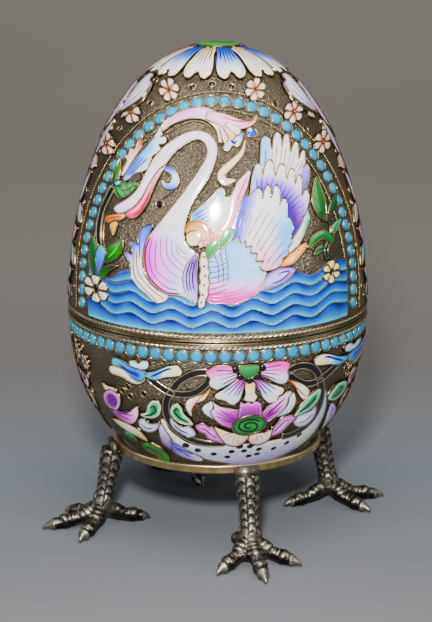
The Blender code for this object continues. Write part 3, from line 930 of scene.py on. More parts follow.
def swan(art):
    """The swan: neck and breast in one field, beak, belly, wing in three tiers, tail and curls."""
    # Curled feathers in front of the breast.
    curled = [(-14.0, 78.7), (-15.5, 78.4), (-16.8, 77.2), (-17.4, 75.4), (-17.3, 74.1),
              (-18.1, 74.6), (-19.0, 74.7), (-19.1, 73.9), (-18.7, 72.9), (-18.8, 71.8),
              (-19.5, 72.2), (-20.2, 72.0), (-19.9, 70.8), (-19.1, 69.8), (-19.0, 68.2),
              (-18.6, 66.5), (-17.2, 64.8), (-15.5, 63.6), (-13.9, 62.3), (-12.6, 62.0),
              (-11.0, 62.9), (-10.9, 63.9), (-13.1, 65.0), (-14.9, 66.4), (-16.0, 68.2),
              (-16.4, 70.4), (-16.2, 72.9), (-15.5, 75.4), (-14.5, 77.5)]

    def curled_paint(x, y, depth):
        tip = min(1.0, max(0.0, (y - 71.2) / 4.5 - 0.25 * (x + 17.0)))
        return blend(blend(IVORY, WHITE, (y - 62.0) / 6.0), (60, 84, 214),
                     tip * (1.2 - 0.6 * min(depth, 1.0)))
    art.cell(curled, 1, curled_paint)
    for line in ([(-17.5, 72.7), (-17.6, 70.2), (-17.0, 67.8), (-15.5, 66.0), (-13.7, 64.5),
                  (-11.5, 63.1)], [(-18.3, 72.3), (-18.3, 69.4), (-17.9, 67.1), (-16.4, 65.3),
                     (-14.8, 63.9), (-13.1, 62.4)]):
        art.ink(line, 1, (150, 50, 50), 0.08)
    art.ink([(-16.9, 76.0), (-16.9, 73.4), (-16.9, 71.0)], 1, (50, 70, 190), 0.1)
    neck = [(-22.5, 81.4), (-21.7, 82.1), (-20.0, 83.3), (-18.3, 84.8), (-17.0, 86.6),
            (-15.3, 89.9), (-13.5, 92.9), (-12.2, 94.4), (-10.6, 95.8), (-8.7, 97.1), (-6.6, 98.1),
            (-4.4, 98.5), (-2.2, 98.0), (-0.8, 96.8), (-0.1, 95.3), (-0.2, 93.6), (-0.8, 91.4),
            (-1.8, 89.4), (-3.1, 87.3), (-4.3, 85.6), (-5.4, 83.8), (-6.5, 81.2), (-7.2, 78.2),
            (-7.1, 75.9), (-6.2, 74.5), (-5.0, 73.6), (-4.7, 72.2), (-6.0, 70.8), (-6.9, 68.6),
            (-6.9, 66.5), (-6.2, 64.7), (-5.1, 62.6), (-5.1, 62.6), (-6.4, 63.5), (-8.0, 64.0),
            (-10.5, 64.1), (-12.4, 64.8), (-14.2, 66.3), (-15.5, 68.0), (-16.0, 70.4),
            (-15.9, 73.3), (-15.1, 76.0), (-14.0, 77.4), (-11.9, 80.2), (-10.3, 82.2), (-8.7, 84.2),
            (-6.9, 86.4), (-5.2, 88.6), (-3.8, 90.7), (-2.7, 92.6), (-2.3, 94.0), (-2.4, 95.1),
            (-3.1, 96.3), (-4.4, 96.8), (-5.8, 96.4), (-7.3, 95.5), (-9.1, 94.1), (-10.5, 92.5),
            (-11.6, 91.0), (-13.4, 88.6), (-14.9, 85.9), (-16.2, 83.9), (-17.9, 82.1),
            (-19.7, 80.9), (-20.9, 80.3), (-22.0, 80.2), (-22.7, 80.7)]

    def neck_paint(x, y, depth):
        if x < -10.5 and y > 78.6 or y > 90.0:
            return blend((226, 206, 244), WHITE, depth / 0.8)
        across = (x + 16.2 + 0.04 * (y - 70.0) ** 2) / 9.0
        colour = ramp([(0.0, (206, 70, 206)), (0.25, (226, 124, 232)), (0.5, (238, 180, 244)),
                       (0.75, (222, 206, 250)), (1.0, (232, 234, 253))],
                      across + max(0.0, (y - 76.0) * 0.03))
        pale = blend((238, 180, 238), WHITE, depth / 1.6 + 0.4 * across)
        return blend(blend(colour, pale, (y - 75.0) / 6.0),
                     blend((226, 206, 244), WHITE, depth / 0.8), (y - 81.0) / 9.0)
    art.cell(neck, 2, neck_paint, grid=0.5)
    for line in ([(-8.3, 75.4), (-8.1, 73.9), (-6.3, 72.9)],
                 [(-8.9, 75.6), (-8.6, 73.2), (-6.4, 71.7)],
                 [(-9.8, 76.4), (-9.8, 73.3), (-8.9, 71.8), (-7.0, 70.4)],
                 [(-10.9, 76.8), (-10.9, 73.2), (-9.8, 71.0), (-7.5, 69.2)],
                 [(-12.0, 76.6), (-12.3, 73.0), (-11.4, 70.4), (-9.6, 68.6), (-7.8, 67.9)],
                 [(-13.2, 75.8), (-13.4, 70.3), (-12.4, 68.4), (-10.5, 67.1), (-8.2, 66.6)],
                 [(-14.0, 76.0), (-14.7, 72.5), (-14.2, 69.0), (-12.5, 66.8), (-10.5, 65.5),
                  (-8.4, 65.4)]):
        art.ink(line, 2, (120, 30, 90), 0.085)
    art.ink([(-14.4, 76.4), (-15.5, 73.3), (-15.6, 70.4), (-15.1, 68.2), (-13.9, 66.6),
             (-12.2, 65.2), (-10.4, 64.5), (-7.8, 64.5)], 2, (130, 24, 50), 0.12)
    cheek = [(-19.6, 80.9), (-19.8, 80.1), (-19.0, 79.5), (-17.8, 79.8), (-16.6, 80.9),
             (-15.2, 83.0), (-14.2, 85.4), (-13.2, 87.6), (-12.2, 89.5), (-11.2, 91.2),
             (-12.7, 90.1), (-14.2, 88.0), (-15.3, 86.1), (-16.4, 84.1), (-17.9, 82.2)]
    art.cell(cheek, 3, toward((-19.0, 80.0), (-12.0, 90.5),
                 [(0.0, (222, 84, 130)), (0.35, (206, 56, 110)), (0.7, (232, 150, 196)),
                  (1.0, (240, 214, 240))]))
    art.ink([(-18.9, 80.6), (-17.4, 81.7), (-15.9, 83.7), (-14.9, 85.8), (-13.8, 87.8)], 3,
            (250, 190, 206), 0.13)
    art.ink([(-18.4, 80.0), (-16.9, 81.1), (-15.5, 83.2), (-14.5, 85.4)], 3, (150, 20, 60), 0.09)
    art.cell([(-20.4, 80.3), (-21.4, 80.2), (-22.9, 79.7), (-24.3, 79.3), (-24.9, 78.5),
              (-24.3, 77.6), (-23.6, 77.8), (-22.9, 78.5), (-21.3, 78.8), (-20.2, 79.6)], 1,
             toward((-20.4, 80.2), (-24.8, 78.0), fade((240, 190, 110), (220, 140, 60),
                        (180, 100, 40))))
    art.ink([(-21.0, 79.6), (-22.6, 79.2), (-24.0, 78.6)], 1, (110, 50, 20), 0.08)
    art.cell([(-23.7, 77.6), (-22.2, 78.4), (-22.2, 77.0), (-22.9, 75.0), (-22.9, 75.0),
              (-23.5, 76.2)], 1, toward((-22.6, 78.2), (-22.9, 75.2),
                 fade((236, 196, 120), (206, 160, 90))))
    # Belly, dotted strip and lens leaf.
    belly = [(-2.6, 72.3), (0.0, 74.6), (1.6, 76.2), (3.6, 77.4), (6.6, 77.4), (9.7, 74.0),
             (10.8, 71.5), (10.6, 69.4), (9.3, 65.3), (6.6, 63.6), (3.7, 62.4), (1.4, 62.6),
             (-2.1, 62.9), (-2.8, 66.0)]

    def belly_paint(x, y, depth):
        low = min(1.0, max(0.0, (68.2 - y + 0.12 * abs(x - 4.0)) / 5.0))
        colour = blend((170, 206, 250), (200, 222, 252), 0.5 + 0.1 * (x - 3.0))
        return blend(blend(colour, (240, 206, 246), min(1.0, 2.0 * low)), (226, 100, 190),
                     max(0.0, 2.0 * low - 0.9))
    art.cell(belly, 1, belly_paint)
    for index in range(7):
        art.ink([(-2.2, 71.6 - 1.2 * index), (0.2, 71.9 - 1.16 * index),
                 (2.6, 73.0 - 1.05 * index - 0.1 * index)], 1,
                (40, 24, 110) if index < 4 else (150, 20, 80), 0.11)
    for index in range(3):
        art.ink([(-0.9 + 1.2 * index, 73.4 + 0.7 * index), (0.1 + 1.0 * index, 70.6),
                 (0.2 + 1.0 * index, 67.0)], 1, (80, 24, 110), 0.11)
    for index in range(3):
        art.ink([(-2.0, 64.6 - 0.6 * index), (3.0, 65.0 - 0.7 * index),
                 (7.0 - index, 66.6 - 1.0 * index)], 1, (190, 40, 110), 0.075)
    dotted = [(-3.4, 73.6), (-2.2, 73.2), (-2.3, 72.2), (-1.5, 71.6), (-1.8, 70.4), (-1.2, 69.4),
              (-1.7, 68.2), (-1.2, 67.0), (-1.8, 65.8), (-1.6, 64.6), (-2.4, 63.4), (-2.8, 61.9),
              (-4.4, 61.7), (-4.6, 63.2), (-4.0, 64.6), (-4.5, 66.0), (-3.9, 67.2), (-4.3, 68.4),
              (-3.8, 69.8), (-4.2, 71.2), (-3.9, 72.4)]
    art.cell([(-3.0 + 0.72 * (x + 3.0), y) for x, y in dotted], 5, lambda x, y, depth: IVORY)
    for x, y in ((-3.0, 72.6), (-2.9, 70.6), (-2.7, 68.6), (-2.9, 66.6), (-3.2, 64.5),
                 (-3.5, 62.9)):
        art.spot(x, y, 5, 0.26, (50, 20, 24))
    lens = [(-4.3, 73.2), (-5.4, 70.8), (-5.9, 68.2), (-5.6, 65.6), (-4.6, 62.7)]
    lens_halves = [0.2, 1.2, 1.6, 1.5, 0.3]
    art.ribbon(lens, lens_halves, 4, [(0.0, PURPLE, LILAC), (0.5, (156, 120, 214), (206, 196, 246)),
                                      (1.0, (190, 190, 244), WHITE)])
    art.stripes(lens, lens_halves, 4, (-0.5, -0.1, 0.35), (60, 16, 80), 0.12, 0.8, 0.1)
    # Tail feathers.
    art.cell([(9.0, 65.0), (9.8, 67.4), (11.4, 69.0), (13.5, 69.8), (17.0, 69.4), (17.0, 69.4),
              (16.0, 67.5), (13.6, 66.0), (10.9, 65.2)], 1, rimmed(VIOLET, (206, 206, 250), 1.0))
    art.ink([(11.4, 66.4), (13.6, 67.0), (15.6, 68.6), (13.6, 68.6), (12.8, 67.9)], 1,
            (90, 30, 130), 0.12)
    art.cell([(13.2, 70.0), (15.2, 72.3), (17.4, 73.9), (19.3, 74.5), (19.3, 74.5), (19.2, 73.2),
              (17.6, 71.3), (15.8, 70.0)], 2, rimmed((226, 130, 60), (252, 224, 190), 0.9))
    art.spot(17.4, 73.0, 2, 0.22, (120, 50, 20))
    art.cell([(14.6, 72.6), (15.6, 74.4), (16.8, 77.6), (18.8, 80.8), (19.6, 81.2), (19.9, 79.0),
              (18.6, 75.8), (16.8, 73.2)], 2, lambda x, y, depth: blend((80, 190, 150), WHITE,
                 (19.0 - x + 0.2 * (y - 74)) / 1.6))
    # Wing: the far tier, the middle tier with its violet band, and the near tier over both.
    art.cell([(17.2, 86.6), (17.7, 89.0), (18.8, 90.5), (19.6, 90.4), (20.0, 88.8), (19.7, 87.0),
              (18.6, 85.0)], 3, toward((18.0, 86.0), (19.6, 90.2),
                 fade((110, 70, 190), (190, 180, 246))))
    far = [(8.9, 88.6), (9.0, 92.5), (9.3, 96.2), (10.2, 97.2), (11.2, 96.3), (11.6, 94.2),
           (12.0, 96.7), (12.8, 97.8), (13.6, 96.7), (13.8, 94.6), (14.2, 96.6), (14.9, 97.3),
           (15.5, 95.9), (15.7, 93.4), (16.3, 95.0), (17.0, 95.5), (17.5, 94.2), (17.5, 91.8),
           (18.2, 93.4), (18.8, 93.4), (19.0, 91.6), (18.5, 89.4), (16.3, 85.6), (11.0, 86.0)]

    def far_paint(x, y, depth):
        colour = blend((170, 206, 250), WHITE, (x - 10.2) / 1.6)
        return blend((150, 130, 130), colour, 0.35 + (hypot(x - 8.0, y - 78.0) - 11.6) / 2.5)
    art.cell(far, 3, far_paint)
    for x, y, x2, y2 in ((11.6, 94.0, 11.2, 90.2), (13.8, 94.3, 12.9, 90.4),
            (15.7, 93.2, 14.4, 89.6), (17.5, 91.6, 15.8, 88.6), (10.2, 94.6, 9.9, 91.0),
            (12.7, 95.4, 12.1, 91.0), (14.7, 94.8, 13.7, 90.2), (16.6, 93.2, 15.2, 89.4),
            (18.3, 91.4, 16.8, 88.6)):
        art.ink([(x, y), (0.5 * (x + x2) + 0.1, 0.5 * (y + y2)), (x2, y2)], 3, (120, 96, 90), 0.08)
    second = [(7.0, 84.4), (7.0, 86.9), (7.3, 89.4), (7.9, 91.2), (8.6, 91.7), (9.3, 90.9),
              (9.5, 88.8), (10.0, 91.2), (10.9, 92.3), (11.8, 91.6), (12.2, 89.0), (12.9, 90.8),
              (13.8, 91.3), (14.5, 90.3), (14.7, 88.0), (15.3, 89.8), (16.0, 90.1), (16.5, 89.0),
              (16.6, 86.8), (17.1, 88.5), (17.7, 88.6), (18.2, 87.0), (18.0, 84.2), (18.7, 85.3),
              (19.3, 85.3), (19.7, 83.8), (19.4, 81.8), (18.4, 79.7), (17.2, 77.2), (15.0, 75.1),
              (12.5, 77.9), (9.4, 82.4)]

    def second_paint(x, y, depth):
        reach = hypot(x - 8.6, y - 77.4)
        colour = ramp([(8.2, (70, 44, 150)), (9.6, (132, 96, 214)), (11.2, (196, 176, 246)),
                       (12.6, WHITE)], reach)
        if x < 8.2:
            colour = blend(colour, (176, 210, 250), 0.8)
        return colour
    art.cell(second, 4, second_paint)
    for index in range(15):
        turn = radians(92.0 - 5.9 * index)
        reach = 11.2 + 0.5 * (index % 2) - 0.07 * max(0, index - 7) ** 1.4
        art.ink([(8.6 + r * cos(turn), 77.4 + r * sin(turn)) for r in (7.8, 9.6, reach)], 4,
                (60, 20, 110) if index < 11 else (140, 30, 120), 0.085)
    near = [(2.6, 77.4), (3.6, 81.5), (4.5, 83.9), (5.2, 85.2), (6.6, 85.2), (7.8, 86.3),
            (8.6, 86.9), (9.2, 85.9), (9.5, 84.4), (9.9, 86.5), (10.6, 87.4), (11.1, 86.2),
            (11.3, 84.6), (11.8, 86.5), (12.5, 87.1), (13.1, 86.0), (13.2, 82.9), (13.7, 84.3),
            (14.3, 84.3), (14.8, 83.1), (14.8, 80.4), (15.5, 80.0), (16.2, 77.9), (15.6, 76.2),
            (16.0, 75.0), (14.9, 73.9), (15.0, 72.4), (13.8, 71.6), (13.3, 70.2), (11.9, 69.5),
            (9.9, 69.3), (9.0, 70.2), (9.7, 71.6), (8.2, 71.5), (8.3, 73.2), (7.0, 73.3),
            (7.2, 74.8), (5.9, 74.6), (6.0, 76.0), (4.9, 75.4), (4.5, 76.8), (3.4, 75.9)]

    def near_paint(x, y, depth):
        left = min(1.0, max(0.0, 1.3 - (x - 2.8 - 0.28 * (y - 77.0)) / 2.8))
        right = min(1.0, max(0.0, (x - 10.5) / 3.5)) * min(1.0, max(0.0, (83.0 - y) / 5.0))
        colour = blend(blend((250, 250, 252), (150, 200, 250), 0.9 * right), (104, 96, 216), left)
        return blend(colour, (246, 196, 220), max(0.0, (76.5 - y) / 6.0) * (1.0 - right))
    art.cell(near, 5, near_paint)
    veins = (((6.0, 76.2), (7.5, 79.0), (9.6, 82.4)), ((7.0, 75.3), (8.7, 78.2), (10.9, 81.9)),
             ((7.9, 74.3), (9.8, 77.4), (12.0, 81.0)), ((8.6, 73.2), (10.6, 76.2), (12.9, 79.6)),
             ((9.4, 72.0), (11.2, 74.6), (13.7, 77.8)), ((10.2, 70.8), (11.9, 72.9), (14.3, 75.6)),
             ((11.2, 70.2), (12.8, 71.9), (14.4, 73.6)))
    for index, line in enumerate(veins):
        art.ink(line, 5, (150, 80, 90) if index < 3 else (150, 40, 90), 0.09)
    for index in range(4):
        art.ink([(3.4 + 0.9 * index, 78.6 - 0.5 * index), (4.0 + 0.9 * index, 80.6 - 0.4 * index),
                 (5.0 + 0.8 * index, 82.4 - 0.3 * index)], 5, (110, 50, 160), 0.07)
    for index in range(3):
        art.ink([(3.3 + 0.2 * index, 79.4 + 1.0 * index), (6.4 + 0.2 * index, 78.8 + 1.1 * index)],
                5, (110, 50, 160), 0.07, False)
    # Rose feather before the wing, the small wing and the tan scroll.
    front = [(6.7, 90.2), (5.2, 87.6), (4.0, 84.8), (3.2, 82.0), (2.0, 79.0), (-0.4, 77.0),
             (-3.0, 75.2)]
    front_halves = [0.3, 1.2, 1.2, 0.9, 0.9, 0.9, 0.5]
    art.ribbon(front, front_halves, 6, [(0.0, (250, 214, 236), (240, 226, 250)),
                   (0.4, (244, 150, 200), WHITE), (0.7, (250, 206, 220), IVORY),
                   (1.0, (240, 130, 170), PINK)])
    art.stripes(front, front_halves, 6, (0.2,), (214, 50, 110), 0.08, 0.42, 0.1)
    art.stripes(front, front_halves, 6, (-0.3, 0.3), (206, 60, 90), 0.72, 0.95, 0.1)
    small = [(-5.6, 81.0), (-4.4, 82.4), (-2.4, 84.0), (-0.3, 86.2), (0.6, 86.8), (1.6, 86.0),
             (1.2, 84.9), (2.6, 85.2), (3.0, 84.4), (2.2, 83.5), (3.0, 82.5), (2.4, 80.8),
             (1.0, 79.0), (-1.6, 77.8), (-3.6, 79.0), (-5.4, 79.0)]

    def small_paint(x, y, depth):
        colour = blend((130, 190, 246), (250, 252, 255), (x + 4.6) / 3.2)
        return blend(colour, (170, 210, 250), max(0.0, (y - 83.4) / 3.5))
    art.cell(small, 4, small_paint)
    for index in range(4):
        art.ink([(-5.0 + 0.3 * index, 81.0 - 0.62 * index),
                 (-3.6 + 0.3 * index, 82.0 - 0.7 * index),
                 (-2.2 + 0.3 * index, 82.8 - 0.7 * index)], 4, (24, 84, 200), 0.13)
    scroll = [(-6.9, 77.6), (-5.6, 79.0), (-3.6, 79.0), (-2.4, 77.6), (-2.6, 76.0), (-4.0, 74.9)]
    art.ribbon(scroll, [0.4, 0.9, 1.1, 1.1, 0.9, 0.5], 5, [(0.0, (150, 90, 60), (250, 206, 170)),
                                                          (0.5, (214, 150, 110), (250, 226, 204)),
                                                          (1.0, (250, 216, 190), IVORY)])
    art.cell([(-6.6, 77.0), (-5.4, 78.0), (-3.8, 77.6), (-3.4, 76.2), (-4.4, 75.0), (-6.0, 75.0)],
             4, lambda x, y, depth: blend((250, 214, 184), (252, 240, 228), (77.6 - y) / 2.2))
    art.cell([(-2.4, 72.4), (-2.3, 74.9), (-0.8, 76.1), (0.3, 75.9), (0.1, 74.6), (-1.6, 72.6)], 7,
             toward((-2.0, 73.0), (0.0, 76.0), fade((40, 150, 100), (90, 200, 150))))
    art.cell([(0.3, 74.5), (0.7, 77.0), (2.0, 78.5), (3.3, 78.2), (2.8, 76.4), (1.2, 74.7)], 7,
             toward((0.6, 75.0), (3.0, 78.2), fade((50, 170, 110), (120, 220, 170))))


def garden(art):
    """Scrolls, crest leaf, stems and plants round the swan."""
    scroll = [(-12.6, 97.9), (-10.2, 100.2), (-6.6, 101.8), (-3.0, 102.0), (-0.6, 100.8),
              (0.5, 98.8), (0.6, 96.3)]
    widths = [0.4, 0.8, 1.0, 1.2, 1.3, 0.9, 0.45]
    art.ribbon(scroll, widths, 1, [(0.0, (246, 200, 224), PEACH),
                   (0.4, (226, 166, 226), (240, 206, 240)), (0.75, (240, 180, 224), WHITE),
                   (1.0, PEACH, IVORY)])
    art.ribbon([(-2.4, 101.6), (1.2, 100.6), (4.8, 99.7), (7.4, 100.0), (8.4, 101.4)],
               [0.8, 1.2, 0.9, 0.5, 0.2], 2, [(0.0, (226, 170, 228), (236, 190, 236)),
                   (0.6, (244, 200, 226), (250, 220, 234)), (1.0, (190, 70, 70), PEACH)])
    art.ink([(1.0, 101.2), (4.4, 100.3), (7.0, 100.4)], 2, (170, 40, 60), 0.09)
    for root, tip, width, colour in (((1.6, 99.8), (4.8, 97.9), 1.7, WHITE),
            ((1.2, 99.4), (3.6, 96.9), 1.6, (250, 190, 150)),
            ((0.6, 99.2), (1.9, 96.2), 1.4, PEACH)):
        art.feather(root, tip, width, 3, fade((246, 210, 236), colour), None)
    art.cell([(3.0, 98.2), (1.6, 96.2), (1.2, 94.9), (2.4, 94.5), (3.2, 95.6), (4.3, 95.2),
              (5.0, 96.1), (5.4, 97.6), (4.2, 98.6)], 1,
             toward((4.0, 98.4), (2.4, 94.6), [(0.0, (120, 180, 246)), (0.4, WHITE),
                        (1.0, (206, 230, 252))]))
    art.ink([(3.4, 97.6), (3.0, 96.6), (3.6, 96.0), (4.1, 96.7)], 1, (14, 40, 150), 0.2)
    art.dot(7.4, 98.1, 1.05, (60, 90, 190))
    art.spot(7.0, 98.6, 1, 0.5, (200, 216, 250))
    art.ribbon([(5.9, 96.6), (5.2, 94.2), (3.4, 92.3), (1.3, 90.5), (0.7, 89.2), (1.7, 88.2),
                (3.7, 88.6)], [0.15, 0.5, 0.7, 0.8, 0.8, 0.7, 0.3], 1,
               [(0.0, IVORY, PEACH), (0.5, (250, 220, 190), IVORY), (1.0, (250, 200, 190), IVORY)])
    art.line([(-12.0, 97.0), (-9.6, 98.6), (-6.6, 100.2), (-4.0, 100.4), (-1.9, 99.6),
              (-0.7, 98.0)])
    crest = [(-20.6, 87.2), (-19.7, 89.4), (-18.0, 91.8), (-16.3, 93.8), (-14.6, 95.7),
             (-13.3, 97.3), (-12.6, 99.0), (-12.0, 97.8), (-12.5, 96.8), (-11.6, 97.1),
             (-11.1, 96.3), (-11.8, 95.4), (-12.8, 95.3), (-12.3, 94.4), (-12.8, 93.6),
             (-14.0, 92.9), (-14.9, 91.2), (-15.1, 90.2), (-16.4, 89.4), (-17.9, 88.9),
             (-19.5, 87.4)]

    def crest_paint(x, y, depth):
        over = ((x + 20.5) * 11.0 - (y - 87.3) * 7.8) / 13.5
        colour = ramp([(-1.6, (30, 84, 200)), (-0.4, (90, 166, 240)), (1.0, (170, 212, 250)),
                       (2.4, WHITE)], over)
        return blend(colour, WHITE, max(0.0, (y - 94.0) / 4.0))
    art.cell(crest, 2, crest_paint)
    for shift in (0.0, 0.8, 1.6):
        art.ink([(-19.9 + 0.5 * shift, 88.2), (-18.4 + 0.8 * shift, 90.4),
                 (-16.6 + 0.9 * shift, 92.6 - 0.2 * shift)], 2, (24, 76, 190), 0.13)
    pale = [(-21.2, 88.1), (-20.5, 90.1), (-19.9, 91.3), (-20.8, 92.2), (-19.6, 92.6),
            (-19.4, 94.2), (-18.4, 93.8), (-17.6, 95.2), (-17.1, 96.6), (-16.5, 95.6),
            (-16.8, 94.2), (-18.0, 92.3), (-19.3, 90.2), (-20.6, 88.2)]
    art.cell(pale, 1, toward((-20.8, 88.4), (-17.0, 96.0),
                 [(0.0, (250, 226, 220)), (0.6, (246, 206, 206)), (1.0, (214, 110, 90))]))
    art.cell([(-23.4, 86.4), (-23.1, 88.3), (-22.3, 89.8), (-21.6, 92.0), (-21.6, 92.0),
              (-21.3, 89.9), (-21.6, 88.3), (-22.0, 86.8)], 2,
             toward((-22.6, 87.0), (-21.6, 91.0), fade((20, 90, 50), (60, 160, 80))))
    art.cell([(-22.9, 85.2), (-21.7, 83.4), (-20.0, 83.9), (-18.5, 85.2), (-17.2, 86.9),
              (-18.3, 87.2), (-19.6, 86.7), (-20.6, 87.0), (-21.6, 86.1)], 2,
             lambda x, y, depth: blend((8, 84, 50), (50, 160, 100), 0.5 + 0.5 * sin(3.2 * (x + y))))
    art.ink([(-20.9, 85.0), (-19.6, 85.3), (-18.4, 86.3)], 2, (8, 60, 34), 0.12)
    art.dot(-22.0, 86.3, 0.72, (196, 214, 250), (80, 160, 180), 0.32)
    comma = [(-11.6, 90.9), (-10.2, 91.0), (-8.8, 90.1), (-8.2, 88.5), (-8.8, 86.9), (-10.1, 86.2),
             (-11.5, 86.6), (-12.2, 87.8), (-11.7, 88.2), (-11.0, 87.6), (-10.2, 87.9),
             (-9.8, 88.7), (-10.2, 89.6), (-11.2, 90.0)]
    art.cell(comma, 2, lambda x, y, depth: blend((40, 80, 210), (226, 238, 252),
                 1.4 - abs(y - 88.6) / 1.8))
    art.line([(-9.0, 86.7), (-10.5, 85.4), (-12.0, 84.4)])
    art.dot(-12.6, 83.1, 0.85)
    art.ribbon([(-16.4, 89.0), (-17.6, 88.2), (-19.2, 86.9)], [0.5, 0.5, 0.2], 1, same(BLACK))
    stems(art, ([(-23.1, 85.4), (-24.5, 82.7), (-25.7, 80.1), (-26.4, 77.0), (-26.6, 74.3),
                 (-26.2, 72.1)],), 0.5)
    art.line([(-24.6, 79.6), (-25.3, 77.0), (-25.5, 74.0), (-25.1, 72.4)])
    # Plant at the left.
    art.leaf((-27.6, 65.4), (-27.9, 74.2), 2.3, 1, fade((10, 80, 50), (40, 130, 84)), FOREST)
    art.cell([(-24.9, 69.1), (-24.7, 71.5), (-23.7, 73.1), (-20.8, 75.0), (-20.8, 75.0),
              (-20.9, 72.4), (-22.5, 70.3)], 1, toward((-24.6, 69.6), (-21.2, 74.4),
                 [(0.0, (10, 84, 50)), (0.6, (30, 130, 74)), (1.0, (12, 88, 50))]))
    art.ink([(-24.1, 70.2), (-22.6, 72.0), (-21.4, 73.8)], 1, (120, 210, 110), 0.08)
    art.cell([(-26.2, 65.4), (-25.7, 67.4), (-24.1, 68.6), (-22.0, 68.9), (-24.0, 67.3),
              (-25.2, 65.4)], 2, toward((-25.8, 66.0), (-22.4, 68.8),
                 fade((60, 110, 60), (14, 50, 30))))
    art.cell([(-26.3, 66.2), (-27.2, 69.5), (-26.4, 72.2), (-25.5, 72.6), (-24.7, 71.1),
              (-25.5, 68.0)], 2, toward((-26.0, 66.8), (-25.6, 72.4),
                 [(0.0, (30, 90, 210)), (0.6, (50, 150, 226)), (1.0, (90, 190, 210))]))
    for turn in turns(6):
        turn += pi / 2
        art.feather((-27.0 + 0.9 * cos(turn), 62.7 + 0.9 * sin(turn)),
                    (-27.0 + 3.0 * cos(turn), 62.7 + 3.0 * sin(turn)), 2.0, 3,
                    fade((250, 244, 226), WHITE), (190, 90, 80), lines=1)
    art.dot(-27.0, 62.7, 1.0, BLACK, SILVER, 0.42)
    # Plant at the right.
    art.leaf((23.6, 78.4), (21.6, 88.0), 2.9, 1, fade((6, 70, 46), (20, 118, 70), (36, 130, 86)),
             (6, 60, 30), 0.06)
    art.leaf((24.6, 79.4), (26.6, 84.0), 1.8, 1, fade(FOREST, GREEN), FOREST, -0.1)
    art.ribbon([(23.4, 79.4), (25.2, 77.4), (25.3, 74.6), (24.0, 72.4), (24.2, 70.0)], [0.4] * 5, 1,
               same((8, 60, 54)))
    art.ribbon([(25.4, 73.4), (23.4, 75.4), (21.2, 74.9), (19.8, 73.0)], [0.5, 0.9, 0.9, 0.2], 2,
               [(0.0, (12, 96, 64), (36, 130, 86)), (1.0, (20, 112, 70), (60, 150, 96))])
    art.ribbon([(24.4, 71.8), (22.6, 72.6), (21.2, 71.4)], [0.3, 0.7, 0.2], 1,
               [(0.0, FOREST, FOREST), (1.0, GREEN, GREEN)])
    art.leaf((25.4, 75.0), (27.6, 78.0), 1.6, 2, fade(GREEN, MINT), FOREST, 0.1, veins=0)
    for index in range(6):
        turn = pi / 2 + 2 * pi * index / 6
        art.feather((25.0 + 0.5 * cos(turn), 67.0 + 0.6 * sin(turn)),
                    (25.0 + 2.0 * cos(turn), 67.0 + 2.5 * sin(turn)), 1.5, 3,
                    fade((240, 216, 160), IVORY), None)
    art.dot(25.0, 67.0, 0.7, BLACK, GILT, 0.42)


